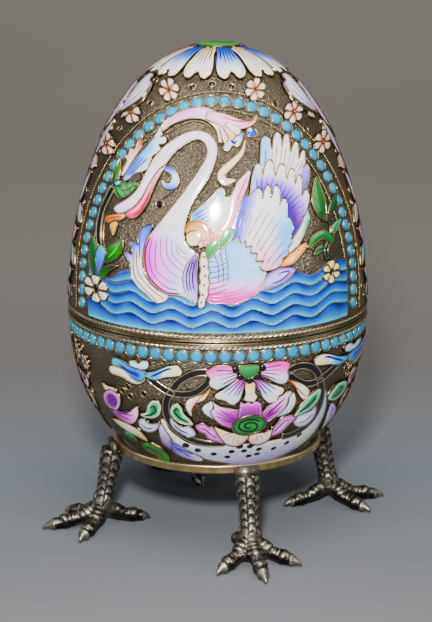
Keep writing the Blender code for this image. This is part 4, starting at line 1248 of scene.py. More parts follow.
def crown(art):
    """Rosette on the lid's tip: twelve petals, blue and cream in turn, round a green boss."""
    for index, turn in enumerate(turns(12)):
        azimuth = radians(12.0) + turn
        way = (sin(azimuth), -cos(azimuth))
        root, tip = (4.9 * way[0], 4.9 * way[1]), (CROWN_REACH * way[0], CROWN_REACH * way[1])
        stations = ((0.0, 0.42), (0.35, 0.66), (0.7, 0.98), (0.88, 1.0), (0.98, 0.72), (0.98, 0.36),
                    (0.86, 0.0), (0.98, -0.36), (0.98, -0.72), (0.88, -1.0), (0.7, -0.98),
                    (0.35, -0.66), (0.0, -0.42))
        outline = art.shape(root, tip, 6.3, stations)
        if index % 2 == 0:
            stops, ink = [(0.0, (30, 60, 170)), (0.3, (60, 110, 220)), (0.6, (180, 206, 246)),
                    (0.8, WHITE)], NAVY
        else:
            stops, ink = [(0.0, (246, 214, 160)), (0.35, IVORY), (1.0, WHITE)], (120, 70, 50)
        art.cell(outline, 3, toward(root, tip, stops), grid=0.6)
        for over in (-0.62, -0.3, 0.0, 0.3, 0.62):
            art.ink(art.shape(root, tip, 6.3, [(0.06, over * 0.4), (0.3, over * 0.62),
                        (0.56 + 0.12 * (abs(over) < 0.5), over * 0.85)]), 3, ink, 0.1)
    art.cell([(5.6 * cos(turn), 5.6 * sin(turn)) for turn in turns(48)], 2,
             lambda x, y, depth: (20, 16, 14), rounded=False)
    for turn in turns(24):
        art.spot(5.85 * cos(turn), 5.85 * sin(turn), 4, 0.4, (24, 18, 14))
    art.cell([(5.0 * cos(turn), 5.0 * sin(turn)) for turn in turns(48)], 5,
             lambda x, y, depth: blend((24, 104, 56), (84, 168, 96),
                 0.5 + 0.5 * sin(1.5 * hypot(x, y) - atan2(y, x))), rounded=False, swell=0.3)
    spiral = [((4.2 - 0.9 * k / 8) * cos(2 * pi * k / 16),
               (4.2 - 0.9 * k / 8) * sin(2 * pi * k / 16)) for k in range(32)]
    art.ink([(x * 0.98, y * 0.98) for x, y in spiral], 6, (16, 84, 36), 0.16)
    # Big petals on the shoulders, each in a second wire.
    for turn in (64.0, -64.0, 116.0, -116.0):
        azimuth, lean = radians(turn), 0.1 if turn > 0 else -0.1
        tip = (16.8 * sin(azimuth - lean), -16.8 * cos(azimuth - lean))
        root = (23.0 * sin(azimuth + lean), -23.0 * cos(azimuth + lean))
        stations = ((0.0, 0.12), (0.25, 0.6), (0.6, 1.0), (0.85, 0.92), (1.0, 0.45), (0.93, 0.0),
                    (1.0, -0.45), (0.85, -0.92), (0.6, -1.0), (0.25, -0.6), (0.0, -0.12))
        art.cell(art.shape(root, tip, 6.4, stations), 4,
                 toward(root, tip, [(0.0, LILAC), (0.35, WHITE), (1.0, WHITE)], (176, 168, 226)),
                 half=0.2)
        for over in (-0.6, 0.0, 0.6):
            art.ink(art.shape(root, tip, 6.4, [(0.12, over * 0.3), (0.45, over * 0.8),
                        (0.8, over)]), 4, (90, 80, 150), 0.11)
        art.line(art.shape(root, tip, 8.0, stations), 0.7, 0.2, closed=True)


def small_flower(art, x, z, radius=2.6, turn=0.3):
    """White and pink flower of six separate petals."""
    for index in range(6):
        angle = turn + pi * index / 3
        root = (x + 0.18 * radius * cos(angle), z + 0.18 * radius * sin(angle))
        tip = (x + radius * cos(angle), z + radius * sin(angle))
        art.feather(root, tip, 0.66 * radius, 2, [(0.0, (190, 110, 96)), (0.35, (244, 210, 194)),
                        (1.0, WHITE)], None)
    art.dot(x, z, 0.34, (120, 40, 30), GILT, 0.3)


def spandrels(art):
    """Ornament between the arches on one side of the lid (x from the side's middle)."""
    for s in (1, -1):
        for x, z, r in ((s * 9.5, 96.5, 2.3), (s * 16.0, 101.5, 2.2)):
            small_flower(art, x, z, r, 0.2 * s)
    for s in (1, -1):
        big = [(s * 1.2, 106.5), (s * 5.6, 104.4), (s * 6.4, 99.6), (s * 3.2, 96.2)]
        art.ribbon(big, [0.4, 2.2, 2.0, 0.3], 3, [(0.0, WHITE, LILAC),
                       (0.5, (226, 214, 246), WHITE), (1.0, PINK, WHITE)] if s > 0
                   else [(0.0, LILAC, WHITE), (0.5, WHITE, (226, 214, 246)), (1.0, WHITE, PINK)])
        art.stripes(big, [0.4, 2.2, 2.0, 0.3], 3, (-0.4, 0.4), (150, 120, 190), 0.15, 0.85)
        for x, z, tip, width, colours in ((7.0, 90.5, (10.8, 98.8), 4.4, (LILAC, WHITE)),
                (5.2, 88.6, (11.6, 88.2), 3.6, (ROSE, WHITE)),
                (5.4, 79.6, (9.6, 87.0), 3.8, (WHITE, LILAC)),
                (5.0, 78.2, (11.4, 75.2), 3.8, (LILAC, WHITE)),
                (4.6, 70.6, (9.4, 73.8), 3.4, (ROSE, PINK)),
                (4.4, 68.8, (10.8, 65.2), 3.6, (AQUA, IVORY)),
                (3.4, 61.0, (8.6, 64.0), 3.0, (LILAC, WHITE)),
                (3.2, 59.6, (9.0, 57.6), 2.8, (ROSE, WHITE))):
            art.leaf((s * x, z), (s * tip[0], tip[1]), width, 2, fade(colours[0], colours[1]),
                     blend(colours[0], BLACK, 0.6), 0.1 * s)
        art.curl(s * 2.6, 84.4, 1.9, 1.0, 0.4, 1, [(0.0, GREEN, MINT), (1.0, MINT, WHITE)],
                 (0.7, 0.4), s)
        art.curl(s * 2.8, 65.4, 2.0, 1.1, 2.2, 1, [(0.0, MAGENTA, PINK), (1.0, ROSE, WHITE)],
                 (0.8, 0.5), -s)
        art.curl(s * 2.4, 74.6, 1.7, 1.0, 1.2, 1, [(0.0, GREEN, MINT), (1.0, MINT, WHITE)],
                 (0.7, 0.4), s)
        for x, z in ((3.4, 92.6), (8.6, 91.4), (8.4, 82.4), (9.6, 79.8), (12.2, 70.4), (7.2, 67.9),
                     (12.0, 61.0)):
            art.dot(s * x, z, 0.62)
    stems(art, ([(0.0, 58.4), (0.3, 64.0), (-0.3, 72.0), (0.3, 80.0), (0.0, 88.0), (0.0, 94.4)],),
          0.5)
    art.flower(0.0, 99.6, 2.7, 6, 3, fade(MAGENTA, ROSE, PINK), (40, 110, 60), 0.52, WINE)
    art.leaf((0.0, 93.6), (0.0, 98.0), 2.4, 3, fade(GREEN, MINT), FOREST)
    art.flower(0.0, 58.0, 2.2, 6, 3, fade(AQUA, WHITE), (200, 170, 60), 0.52, TEAL)


def shoulders(art):
    """Dark dots and flowers over an arch."""
    for x, z in ((-5.6, 107.2), (-1.3, 107.9), (3.0, 107.3), (-15.0, 103.4), (12.6, 103.6),
                 (19.6, 97.6), (-22.0, 97.4), (15.9, 107.6), (-13.9, 107.9)):
        art.dot(x, z, 0.72, (44, 18, 14))
    for x, z in ((-10.7, 106.3), (8.2, 106.5), (-19.3, 101.0), (16.7, 101.4), (23.4, 94.4),
                 (-25.0, 93.6)):
        small_flower(art, x, z, 2.25)


def fan(art, root, spreads, level, colour, half=0.1, start=0.15):
    """Painted lines from near a root toward each of the given places."""
    for x, y in spreads:
        near = (root[0] + start * (x - root[0]), root[1] + start * (y - root[1]))
        art.ink([near, (0.5 * (near[0] + x), 0.5 * (near[1] + y) + 0.1), (x, y)], level, colour,
                half)


def lower_picture(art):
    """Half flower under the beads, lotus with stems, scrolls and a dotted crescent."""
    crescent = [(-12.8, 34.4), (-11.7, 34.1), (-10.8, 31.9), (-8.9, 30.0), (-6.3, 28.3),
                (-3.0, 27.6), (0.4, 28.0), (4.2, 28.2), (8.4, 28.2), (13.9, 28.4), (16.8, 28.7),
                (19.4, 30.2), (21.9, 32.7), (23.4, 35.8), (24.4, 39.6), (24.9, 36.5), (24.6, 32.5),
                (23.3, 28.6), (21.6, 25.7), (19.0, 23.4), (15.6, 21.8), (11.4, 20.9), (7.6, 20.7),
                (3.8, 21.3), (0.2, 22.3), (-3.2, 23.5), (-6.6, 25.6), (-9.0, 27.1), (-10.8, 29.4),
                (-12.3, 31.7)]

    def crescent_paint(x, y, depth):
        away = (28.6 - y) / 6.5 if x < 18.0 else (x - 22.0) / 3.0
        return blend(blend(WHITE, (196, 204, 244), away), (150, 140, 200),
                     max(0.0, away - 0.75) * 2.0)
    art.cell(crescent, 0, crescent_paint)
    for x, y in ((-4.5, 26.3), (-0.9, 25.3), (2.1, 24.3), (3.1, 26.0), (4.9, 27.4), (5.9, 26.0),
                 (7.3, 27.3), (7.0, 24.2), (8.9, 24.6), (9.3, 26.1), (12.7, 25.6), (15.7, 26.6),
                 (-7.2, 27.6), (18.6, 28.2)):
        art.spot(x, y, 0, 0.92, BLACK)
    stems(art, ([(-15.2, 44.5), (-12.9, 42.8), (-10.4, 41.6), (-7.4, 41.4), (-4.6, 42.3),
                 (-2.4, 44.4), (-1.8, 46.3)], [(-9.9, 42.3), (-8.7, 44.2), (-6.6, 45.9),
                    (-4.4, 46.8), (-1.9, 46.9)], [(-10.0, 42.0), (-11.0, 40.4), (-11.5, 38.2),
                    (-11.3, 35.8), (-10.2, 33.2), (-8.0, 30.9), (-5.4, 29.3), (-2.0, 28.4),
                    (1.4, 28.6)], [(15.4, 45.9), (17.6, 46.9), (20.2, 46.4), (22.0, 44.8),
                    (22.8, 42.7)], [(15.4, 45.5), (17.2, 43.8), (19.5, 42.3), (22.0, 42.2),
                    (25.0, 43.6), (27.6, 45.4)], [(22.9, 42.6), (23.4, 38.9), (22.8, 34.9),
                    (21.1, 31.7), (18.2, 29.5), (14.6, 28.8)]))
    # Half flower.
    rose = (222, 96, 178)

    def side_petal(x, y, depth):
        return ramp([(0.0, (196, 210, 248)), (0.45, (232, 236, 253)), (0.75, (240, 170, 216)),
                     (1.0, rose)], 0.55 + 0.19 * (y - 46.0) + 0.05 * (abs(x - 6.8) - 5.5))

    def low_petal(x, y, depth):
        return ramp([(0.0, (190, 60, 150)), (0.3, (232, 130, 200)), (0.62, (206, 216, 250)),
                     (1.0, WHITE)], hypot(x - 6.8, y - 46.4) / 8.2)
    art.cell([(3.4, 47.6), (2.8, 48.5), (1.2, 48.6), (-0.7, 48.4), (-2.4, 47.5), (-2.5, 46.6),
              (-1.7, 45.6), (-1.9, 44.4), (-1.3, 43.4), (0.2, 43.1), (1.8, 43.9), (3.4, 45.0),
              (4.3, 46.1)], 2, side_petal)
    art.cell([(10.0, 48.4), (11.8, 48.8), (13.9, 48.9), (15.6, 48.2), (15.8, 47.2), (15.3, 46.2),
              (15.6, 45.0), (15.1, 43.7), (14.0, 43.3), (12.5, 44.0), (11.0, 45.1), (9.4, 46.2)], 2,
             side_petal)
    art.cell([(4.8, 45.4), (3.4, 44.8), (2.0, 43.6), (0.4, 42.5), (-0.6, 41.8), (-0.4, 40.8),
              (0.6, 40.6), (1.7, 40.2), (2.9, 39.3), (4.2, 39.7), (5.0, 40.9), (5.4, 42.5),
              (5.8, 44.6)], 3, low_petal)
    art.cell([(8.1, 44.9), (9.8, 44.7), (11.5, 43.8), (13.1, 43.1), (14.5, 42.2), (14.3, 41.2),
              (13.5, 40.7), (13.0, 39.6), (11.5, 39.0), (10.3, 39.9), (9.4, 41.4), (8.5, 43.1)], 3,
             low_petal)
    fan(art, (6.2, 47.2), ((-0.6, 47.5), (-0.4, 46.3), (0.0, 45.1), (0.8, 44.1)), 2, (110, 30, 120),
        start=0.3)
    fan(art, (7.4, 47.2), ((14.0, 48.0), (13.8, 46.8), (13.6, 45.6), (13.0, 44.5)), 2,
        (110, 30, 120), start=0.3)
    fan(art, (6.4, 46.4), ((1.2, 42.2), (2.0, 41.4), (3.2, 41.0), (4.2, 41.2)), 3, (90, 20, 110),
        start=0.22)
    fan(art, (7.2, 46.4), ((9.6, 41.4), (10.8, 41.0), (12.0, 41.4), (12.8, 42.2)), 3, (90, 20, 110),
        start=0.22)
    art.cell([(6.0, 44.4), (8.0, 44.4), (8.1, 42.0), (8.6, 41.1), (8.1, 40.1), (6.7, 39.9),
              (5.6, 40.6), (6.0, 41.8)], 4, toward((7.0, 44.2), (7.0, 40.0),
                 fade((240, 214, 170), IVORY, WHITE)))
    art.ink([(6.2, 42.0), (7.0, 41.8), (7.9, 42.0)], 4, BROWN, 0.07)
    art.cell([(4.4, 48.6), (8.9, 48.6), (8.9, 48.6), (8.8, 47.3), (7.9, 46.1), (6.8, 45.5),
              (5.6, 46.1), (4.6, 47.3), (4.4, 48.6)], 5,
             toward((6.8, 48.4), (6.8, 45.6), fade((60, 160, 110), (16, 100, 66))))
    for x, y in ((3.8, 47.7), (4.8, 46.0), (6.8, 45.0), (8.7, 45.9), (9.7, 47.8)):
        art.spot(x, y, 5, 0.74, BLACK)
    # Lotus.
    art.cell([(0.2, 34.9), (-1.7, 35.8), (-3.0, 36.9), (-3.5, 38.2), (-2.6, 39.4), (-1.1, 39.9),
              (-1.1, 38.2), (-1.2, 36.9), (0.0, 35.5)], 1,
             toward((-0.4, 35.6), (-2.8, 38.8), [(0.0, (150, 170, 234)), (0.6, (220, 230, 252)),
                        (1.0, WHITE)]))
    art.cell([(12.6, 35.3), (14.7, 36.7), (15.6, 38.0), (15.9, 39.6), (16.8, 40.8), (17.4, 38.9),
              (17.1, 37.2), (16.0, 35.7), (14.1, 35.0)], 1,
             toward((13.4, 35.4), (17.0, 39.4), fade((170, 190, 240), WHITE)))

    def lotus_paint(x, y, depth):
        inner = hypot((x - 7.0) * 0.8, y - 34.4)
        colour = ramp([(2.6, (132, 34, 140)), (4.2, (190, 84, 190)), (5.8, (226, 150, 224)),
                       (7.6, (236, 206, 244))], inner)
        return blend(colour, WHITE, max(0.0, 1.0 - depth / 0.5) * 0.5)
    art.cell([(4.9, 33.4), (3.3, 33.2), (1.6, 33.6), (0.2, 34.5), (-1.1, 36.2), (-1.6, 37.5),
              (-0.8, 38.4), (-1.2, 39.9), (-0.2, 39.3), (0.8, 38.7), (2.2, 38.4), (3.8, 38.0),
              (4.9, 37.4)], 2, lotus_paint)
    art.cell([(9.9, 34.2), (9.6, 35.9), (10.2, 37.3), (11.5, 38.5), (13.1, 39.5), (14.4, 40.4),
              (15.9, 41.4), (16.4, 40.7), (15.7, 39.6), (15.3, 38.0), (14.5, 36.7), (13.0, 35.4),
              (11.4, 34.2)], 2, lotus_paint)
    art.cell([(4.8, 35.4), (4.7, 38.1), (5.0, 39.8), (6.0, 39.3), (6.7, 39.9), (7.4, 39.2),
              (8.2, 39.8), (9.4, 39.2), (9.6, 37.5), (9.4, 35.6)], 3, lotus_paint)
    fan(art, (4.4, 34.2), ((-0.6, 37.6), (0.4, 38.0), (1.5, 37.7), (2.6, 37.4), (-0.4, 36.4),
            (0.4, 35.4)), 2, (90, 10, 90), start=0.2)
    fan(art, (10.0, 34.8), ((15.0, 40.0), (14.2, 39.4), (13.4, 38.6), (12.2, 37.8), (14.6, 38.2),
            (13.8, 36.9)), 2, (90, 10, 90), start=0.2)
    for index in range(6):
        art.ink([(5.2 + 0.72 * index, 36.4), (5.2 + 0.74 * index, 38.6)], 3, (90, 10, 90), 0.09,
                False)
    for outline, mid in (([(-5.0, 33.5), (-4.0, 34.2), (-2.7, 34.1), (-1.9, 33.4), (-1.0, 33.3),
            (-0.2, 32.4), (0.2, 30.9), (1.7, 29.6), (1.2, 28.8), (-0.7, 29.4), (-2.2, 30.1),
            (-2.9, 31.4), (-4.2, 32.1)], [(-4.2, 33.2), (-2.8, 32.8), (-1.6, 31.6), (-0.2, 30.4)]),
            ([(17.3, 34.7), (15.4, 35.0), (14.0, 34.4), (13.0, 33.2), (12.3, 32.2), (11.0, 30.6),
              (11.6, 29.7), (13.9, 30.3), (15.2, 31.4), (16.2, 32.6), (17.5, 33.4)],
             [(16.4, 34.0), (14.8, 33.5), (13.6, 32.2), (12.2, 30.8)])):
        art.cell(outline, 2, rimmed((176, 76, 176), (238, 190, 238), 1.1))
        art.ink(mid, 2, (96, 16, 96), 0.12)
    cream = fade((250, 230, 200), WHITE, (244, 214, 190))
    art.cell([(0.2, 33.2), (-0.8, 33.5), (-0.3, 32.2), (0.6, 30.4), (2.1, 28.5), (4.2, 28.0),
              (5.8, 28.9), (6.9, 30.9), (4.5, 31.5), (2.5, 32.1)], 3,
             toward((0.6, 32.0), (5.6, 29.0), cream))
    art.cell([(12.3, 32.6), (11.3, 31.5), (9.6, 31.3), (7.3, 31.0), (6.9, 29.2), (8.4, 27.9),
              (10.3, 28.3), (11.6, 29.4), (12.0, 31.0)], 3,
             toward((11.8, 31.6), (8.0, 28.8), cream))
    fan(art, (4.6, 32.4), ((1.2, 31.2), (2.0, 30.2), (3.2, 29.4), (4.4, 29.0)), 3, (150, 96, 60),
        0.08, 0.4)
    fan(art, (8.6, 32.4), ((11.0, 30.4), (10.0, 29.4), (8.8, 29.0)), 3, (150, 96, 60), 0.08, 0.4)
    oval = [(6.9 + 3.7 * cos(2 * pi * k / 36), 33.8 + 0.35 * cos(2 * pi * k / 36) + 2.5
             * sin(2 * pi * k / 36)) for k in range(36)]
    art.cell(oval, 5, rimmed((6, 40, 24), (56, 140, 92), 0.7), rounded=False, half=0.2)
    whirl = [(6.9 + (2.9 - 2.5 * k / 22) * cos(0.6 + 0.55 * k),
              33.8 + (1.9 - 1.6 * k / 22) * sin(0.6 + 0.55 * k)) for k in range(22)]
    art.ink(whirl, 6, (4, 40, 20), 0.15)
    # Peach leaves, green curls and grey-lilac scrolls.
    for outline, root, tip in (([(-1.6, 43.2), (-3.3, 41.9), (-5.0, 41.1), (-6.6, 40.3),
            (-7.1, 38.4), (-5.8, 36.0), (-5.6, 38.2), (-4.6, 39.5), (-3.0, 40.3), (-2.0, 41.8)],
            (-2.0, 42.8), (-6.2, 36.8)), ([(15.4, 44.0), (16.9, 42.6), (17.8, 40.3), (19.2, 38.3),
            (20.5, 40.1), (19.4, 41.9), (17.6, 43.2)], (15.8, 43.6), (19.6, 39.0))):
        art.cell(outline, 2, toward(root, tip, [(0.0, (246, 180, 120)), (0.4, IVORY),
                     (1.0, WHITE)]))
        art.ink([root, (0.5 * (root[0] + tip[0]) - 0.3, 0.5 * (root[1] + tip[1]) + 0.5), tip], 2,
                (170, 84, 50), 0.09)

    def curl_paint(x, y, depth):
        return ramp([(0.0, WHITE), (0.5, (150, 214, 186)), (1.2, (20, 124, 84))], depth)
    for outline, hook in (([(-17.3, 35.1), (-15.9, 35.9), (-15.6, 37.5), (-14.5, 39.2),
            (-12.9, 39.1), (-12.4, 37.6), (-13.0, 35.5), (-14.5, 34.5), (-16.3, 34.4)],
            [(-16.2, 35.0), (-14.6, 35.6), (-13.6, 36.8), (-14.2, 37.9), (-14.9, 37.2)]),
            ([(-10.4, 36.5), (-10.3, 38.1), (-9.2, 39.2), (-7.9, 38.3), (-7.4, 36.7), (-6.0, 35.2),
              (-5.4, 33.9), (-7.3, 33.9), (-9.3, 34.7)],
             [(-6.2, 34.5), (-8.2, 35.5), (-9.5, 37.0), (-9.0, 38.0), (-8.4, 37.4)]),
            ([(23.0, 40.2), (21.6, 40.0), (20.1, 38.9), (19.0, 37.6), (17.8, 36.2), (16.9, 34.4),
              (18.9, 34.8), (20.6, 35.3), (21.9, 36.6), (22.8, 38.0)],
             [(17.8, 35.2), (19.6, 36.4), (21.2, 37.6), (22.0, 38.8)]),
            ([(24.8, 36.8), (25.9, 38.8), (27.6, 40.0), (29.3, 39.4), (29.6, 37.6), (28.4, 36.0),
              (26.6, 35.5)], [(25.6, 36.4), (27.4, 37.0), (28.4, 38.3), (27.4, 38.9)])):
        art.cell(outline, 3, curl_paint)
        art.ink(hook, 3, (4, 50, 34), 0.16)
    for outline, line in (([(-17.8, 33.2), (-17.6, 31.3), (-16.2, 30.2), (-14.5, 30.5),
            (-13.2, 32.0), (-12.9, 33.5), (-14.6, 32.9), (-15.8, 33.1), (-16.5, 34.0)],
            [(-17.0, 32.4), (-15.8, 31.4), (-14.2, 32.0)]),
            ([(-10.6, 35.0), (-10.2, 32.9), (-8.5, 31.3), (-6.4, 30.2), (-4.9, 31.0), (-5.3, 32.6),
              (-6.6, 33.4), (-8.1, 33.1), (-9.3, 34.2)],
             [(-9.9, 33.8), (-8.3, 32.2), (-6.2, 31.4)]),
            ([(16.9, 32.8), (18.0, 34.5), (19.3, 34.7), (20.9, 34.9), (22.1, 36.2), (22.3, 34.2),
              (21.5, 32.2), (19.9, 30.9), (18.0, 31.1)],
             [(18.0, 32.2), (19.8, 32.6), (21.4, 34.0)])):
        art.cell(outline, 2, rimmed((132, 140, 186), (236, 240, 252), 0.7))
        art.ink(line, 2, (50, 50, 110), 0.13)
    # Blue and cream leaves like butterflies.
    for x0, s in ((0.0, 1.0), (13.6, -1.0)):
        def turned(points, x0=x0, s=s):
            return [(x0 + s * x, y + (0.4 if s < 0.0 else 0.0)) for x, y in points]
        art.cell(turned([(-24.2, 45.5), (-24.0, 44.0), (-22.4, 43.7), (-20.9, 43.4), (-19.3, 42.7),
                            (-17.4, 42.7), (-15.8, 44.2), (-17.0, 45.0), (-18.9, 45.2),
                            (-20.8, 45.6), (-22.8, 46.0)]), 2, rimmed((226, 214, 160), WHITE, 0.8))
        art.cell(turned([(-23.4, 47.6), (-23.2, 46.1), (-21.2, 46.0), (-20.0, 45.0), (-18.9, 44.0),
                            (-17.0, 43.5), (-15.6, 45.5), (-17.3, 46.4), (-19.2, 46.7),
                            (-20.8, 47.5), (-22.2, 48.0)]), 3,
                 lambda x, y, depth, x0=x0, s=s: ramp([(0.0, (40, 190, 200)),
                     (0.35, (40, 150, 214)), (0.7, (30, 110, 200)), (1.0, (60, 170, 214))],
                     (s * (x - x0) + 23.4) / 7.6))
        art.cell(turned([(-19.6, 47.8), (-18.4, 48.3), (-17.5, 47.7), (-16.5, 48.6), (-15.2, 48.3),
                            (-15.3, 46.9), (-17.0, 46.3), (-18.9, 46.4)]), 2,
                 rimmed((120, 190, 226), WHITE, 0.6))
        art.cell(turned([(-16.0, 45.7), (-13.9, 46.4), (-12.4, 47.2), (-10.9, 48.0), (-9.1, 48.3),
                            (-7.8, 47.4), (-8.0, 46.1), (-9.8, 45.6), (-11.7, 45.2), (-13.6, 44.4),
                            (-15.3, 44.7)]), 3, lambda x, y, depth, x0=x0, s=s: ramp([(0.0,
                     (40, 160, 200)), (0.35, (90, 180, 224)), (0.55, WHITE),
                     (1.0, (240, 232, 200))], (s * (x - x0) + 16.0) / 8.0))
        art.ink(turned([(-14.6, 45.1), (-12.8, 46.2), (-11.0, 47.3), (-9.8, 47.5)]), 3,
                (10, 40, 140), 0.18)
        for k in range(3):
            art.ink(turned([(-21.8 + 0.5 * k, 46.9 - 0.5 * k), (-19.6 + 0.5 * k, 45.7 - 0.3 * k),
                            (-17.0, 45.3 - 0.4 * k)]), 3, (8, 50, 130), 0.13)
    # Dots, rose scroll and leaves at the left, down to the stand's ring.
    for x, y in ((-21.4, 40.0), (-20.1, 41.3), (-19.6, 39.0), (-16.5, 40.3), (29.4, 42.9)):
        art.dot(x, y, 0.74)
    art.cell([(-26.0, 36.6), (-25.7, 38.1), (-24.4, 39.4), (-23.0, 39.2), (-21.9, 38.0),
              (-22.0, 36.0), (-23.0, 34.2), (-24.3, 34.2), (-25.5, 34.9)], 2,
             lambda x, y, depth: ramp([(0.0, (232, 190, 236)), (0.6, (196, 110, 200)),
                 (1.4, (90, 20, 110))], depth))
    art.ink([(-23.4, 35.0), (-22.8, 36.8), (-23.6, 38.2), (-24.6, 37.6), (-24.2, 36.8)], 2,
            (70, 10, 90), 0.14)
    art.cell([(-26.2, 40.6), (-25.0, 40.2), (-23.4, 40.2), (-22.6, 39.2), (-24.4, 39.3),
              (-25.6, 38.8)], 1, toward((-26.0, 40.4), (-23.0, 39.6), fade((230, 226, 170), IVORY)))
    art.cell([(-24.2, 34.2), (-22.4, 34.1), (-20.6, 34.3), (-19.4, 35.5), (-18.0, 36.8),
              (-17.7, 34.9), (-18.5, 32.5), (-19.7, 31.4), (-21.7, 31.7), (-23.3, 32.6)], 2,
             toward((-23.6, 33.4), (-18.4, 35.0), [(0.0, (150, 50, 150)), (0.6, (216, 140, 214)),
                        (1.0, (246, 214, 240))]))
    fan(art, (-23.6, 33.4), ((-19.0, 35.4), (-18.8, 34.2), (-19.6, 32.6)), 2, (90, 16, 90), 0.1,
        0.2)
    art.cell([(-24.2, 31.2), (-21.3, 31.2), (-19.0, 30.6), (-17.2, 29.4), (-15.8, 27.0),
              (-18.3, 27.7), (-20.9, 28.5), (-23.0, 29.7)], 1,
             toward((-23.6, 30.8), (-16.6, 27.6), fade((236, 226, 170), WHITE, (226, 200, 150))))
    art.cell([(-13.2, 33.9), (-13.2, 31.1), (-12.6, 27.6), (-10.4, 25.9), (-10.5, 28.9),
              (-11.6, 31.3)], 1, toward((-12.8, 33.0), (-11.2, 26.6), fade(WHITE, (130, 110, 190))))
    art.cell([(-11.0, 28.3), (-10.2, 25.3), (-7.9, 23.6), (-4.0, 22.5), (-3.6, 24.0), (-6.3, 25.7),
              (-8.4, 27.3)], 1, toward((-10.6, 27.0), (-4.6, 23.2),
                 fade((90, 80, 170), (170, 160, 226), (214, 210, 246))))
    fan(art, (-10.6, 27.4), ((-6.0, 24.0), (-5.6, 25.0)), 1, (40, 30, 110), 0.12, 0.2)
    art.cell([(-17.3, 25.8), (-16.3, 23.8), (-14.2, 22.5), (-12.0, 21.0), (-11.0, 22.5),
              (-12.0, 24.7), (-14.1, 26.0), (-15.8, 26.7)], 2,
             toward((-16.8, 25.6), (-11.6, 21.8), fade((70, 150, 90), (24, 110, 66),
                        (60, 150, 96))))
    art.ink([(-16.2, 25.4), (-14.0, 24.2), (-12.0, 22.6)], 2, (4, 50, 30), 0.13)
    art.leaf((-19.2, 27.4), (-22.6, 33.6), 2.2, 0, fade((120, 60, 130), LILAC), WINE, 0.1, veins=0)
    for root, tip, width, first, second, ink_ in (
            ((26.2, 34.6), (24.0, 26.6), 2.6, (206, 190, 240), WHITE, VIOLET),
            ((-18.4, 26.0), (-21.6, 29.4), 1.8, GREEN, MINT, FOREST)):
        art.leaf(root, tip, width, 1, fade(first, second), ink_, 0.12)


def lower_side(art):
    """Plainer ornament of the cup's sides, in a strip round the egg (x from its middle)."""
    small_flower(art, 0.0, 44.6, 3.0, 0.52)
    for s in (1, -1):
        for x, z in ((7.4, 44.4), (13.2, 45.6)):
            small_flower(art, s * x, z, 2.1, 0.3)
        curl = [(s * 2.0, 40.4), (s * 5.2, 41.2), (s * 7.4, 38.8), (s * 6.0, 36.4), (s * 3.8, 37.2)]
        art.ribbon(curl, [0.3, 1.2, 1.3, 1.0, 0.4], 2, [(0.0, PINK, PINK),
                       (0.5, (206, 110, 194), (240, 190, 230)), (1.0, MAGENTA, ROSE)])
        art.leaf((s * 6.6, 36.0), (s * 11.6, 33.4), 2.8, 2, fade(MAGENTA, PINK), WINE, 0.1 * s)
        art.leaf((s * 2.0, 33.4), (s * 6.6, 30.0), 2.8, 1, fade(GREEN, MINT), FOREST, 0.1 * s)
        art.leaf((s * 1.2, 30.0), (s * 3.4, 24.0), 2.6, 1, fade(LILAC, WHITE), VIOLET, 0.1 * s)
        art.leaf((s * 9.6, 40.6), (s * 13.6, 37.4), 2.2, 1, fade(IVORY, CREAM), BROWN, 0.1 * s)
        art.curl(s * 14.2, 39.4, 2.0, 1.1, 0.6, 2, [(0.0, WHITE, PEACH), (0.5, PINK, ROSE),
                     (1.0, VIOLET, LILAC)], (0.9, 0.5), -s)
        art.leaf((s * 12.6, 36.4), (s * 16.0, 31.4), 2.8, 1, fade(PEACH, IVORY), BROWN, 0.12 * s)
        art.leaf((s * 10.4, 32.2), (s * 13.4, 26.6), 2.6, 1, fade(VIOLET, LILAC, WHITE), PURPLE,
                 0.1 * s)
        art.leaf((s * 6.2, 29.6), (s * 9.0, 24.4), 2.4, 1, fade(GREEN, MINT), FOREST, -0.1 * s)
        small_flower(art, s * 17.4, 44.0, 1.9, 0.1)
        for x, z in ((10.6, 42.6), (9.4, 30.4), (3.4, 47.2), (16.6, 36.4), (17.6, 41.0),
                     (11.2, 47.6), (16.4, 47.4)):
            art.dot(s * x, z, 0.6)
    art.flower(0.0, 35.4, 3.0, 6, 2, fade(AQUA, SKY, WHITE), (40, 120, 60), 0.52, BLUE)
    stems(art, ([(0.0, 41.4), (0.0, 38.8)], [(0.0, 32.2), (0.0, 24.0)]), 0.45)


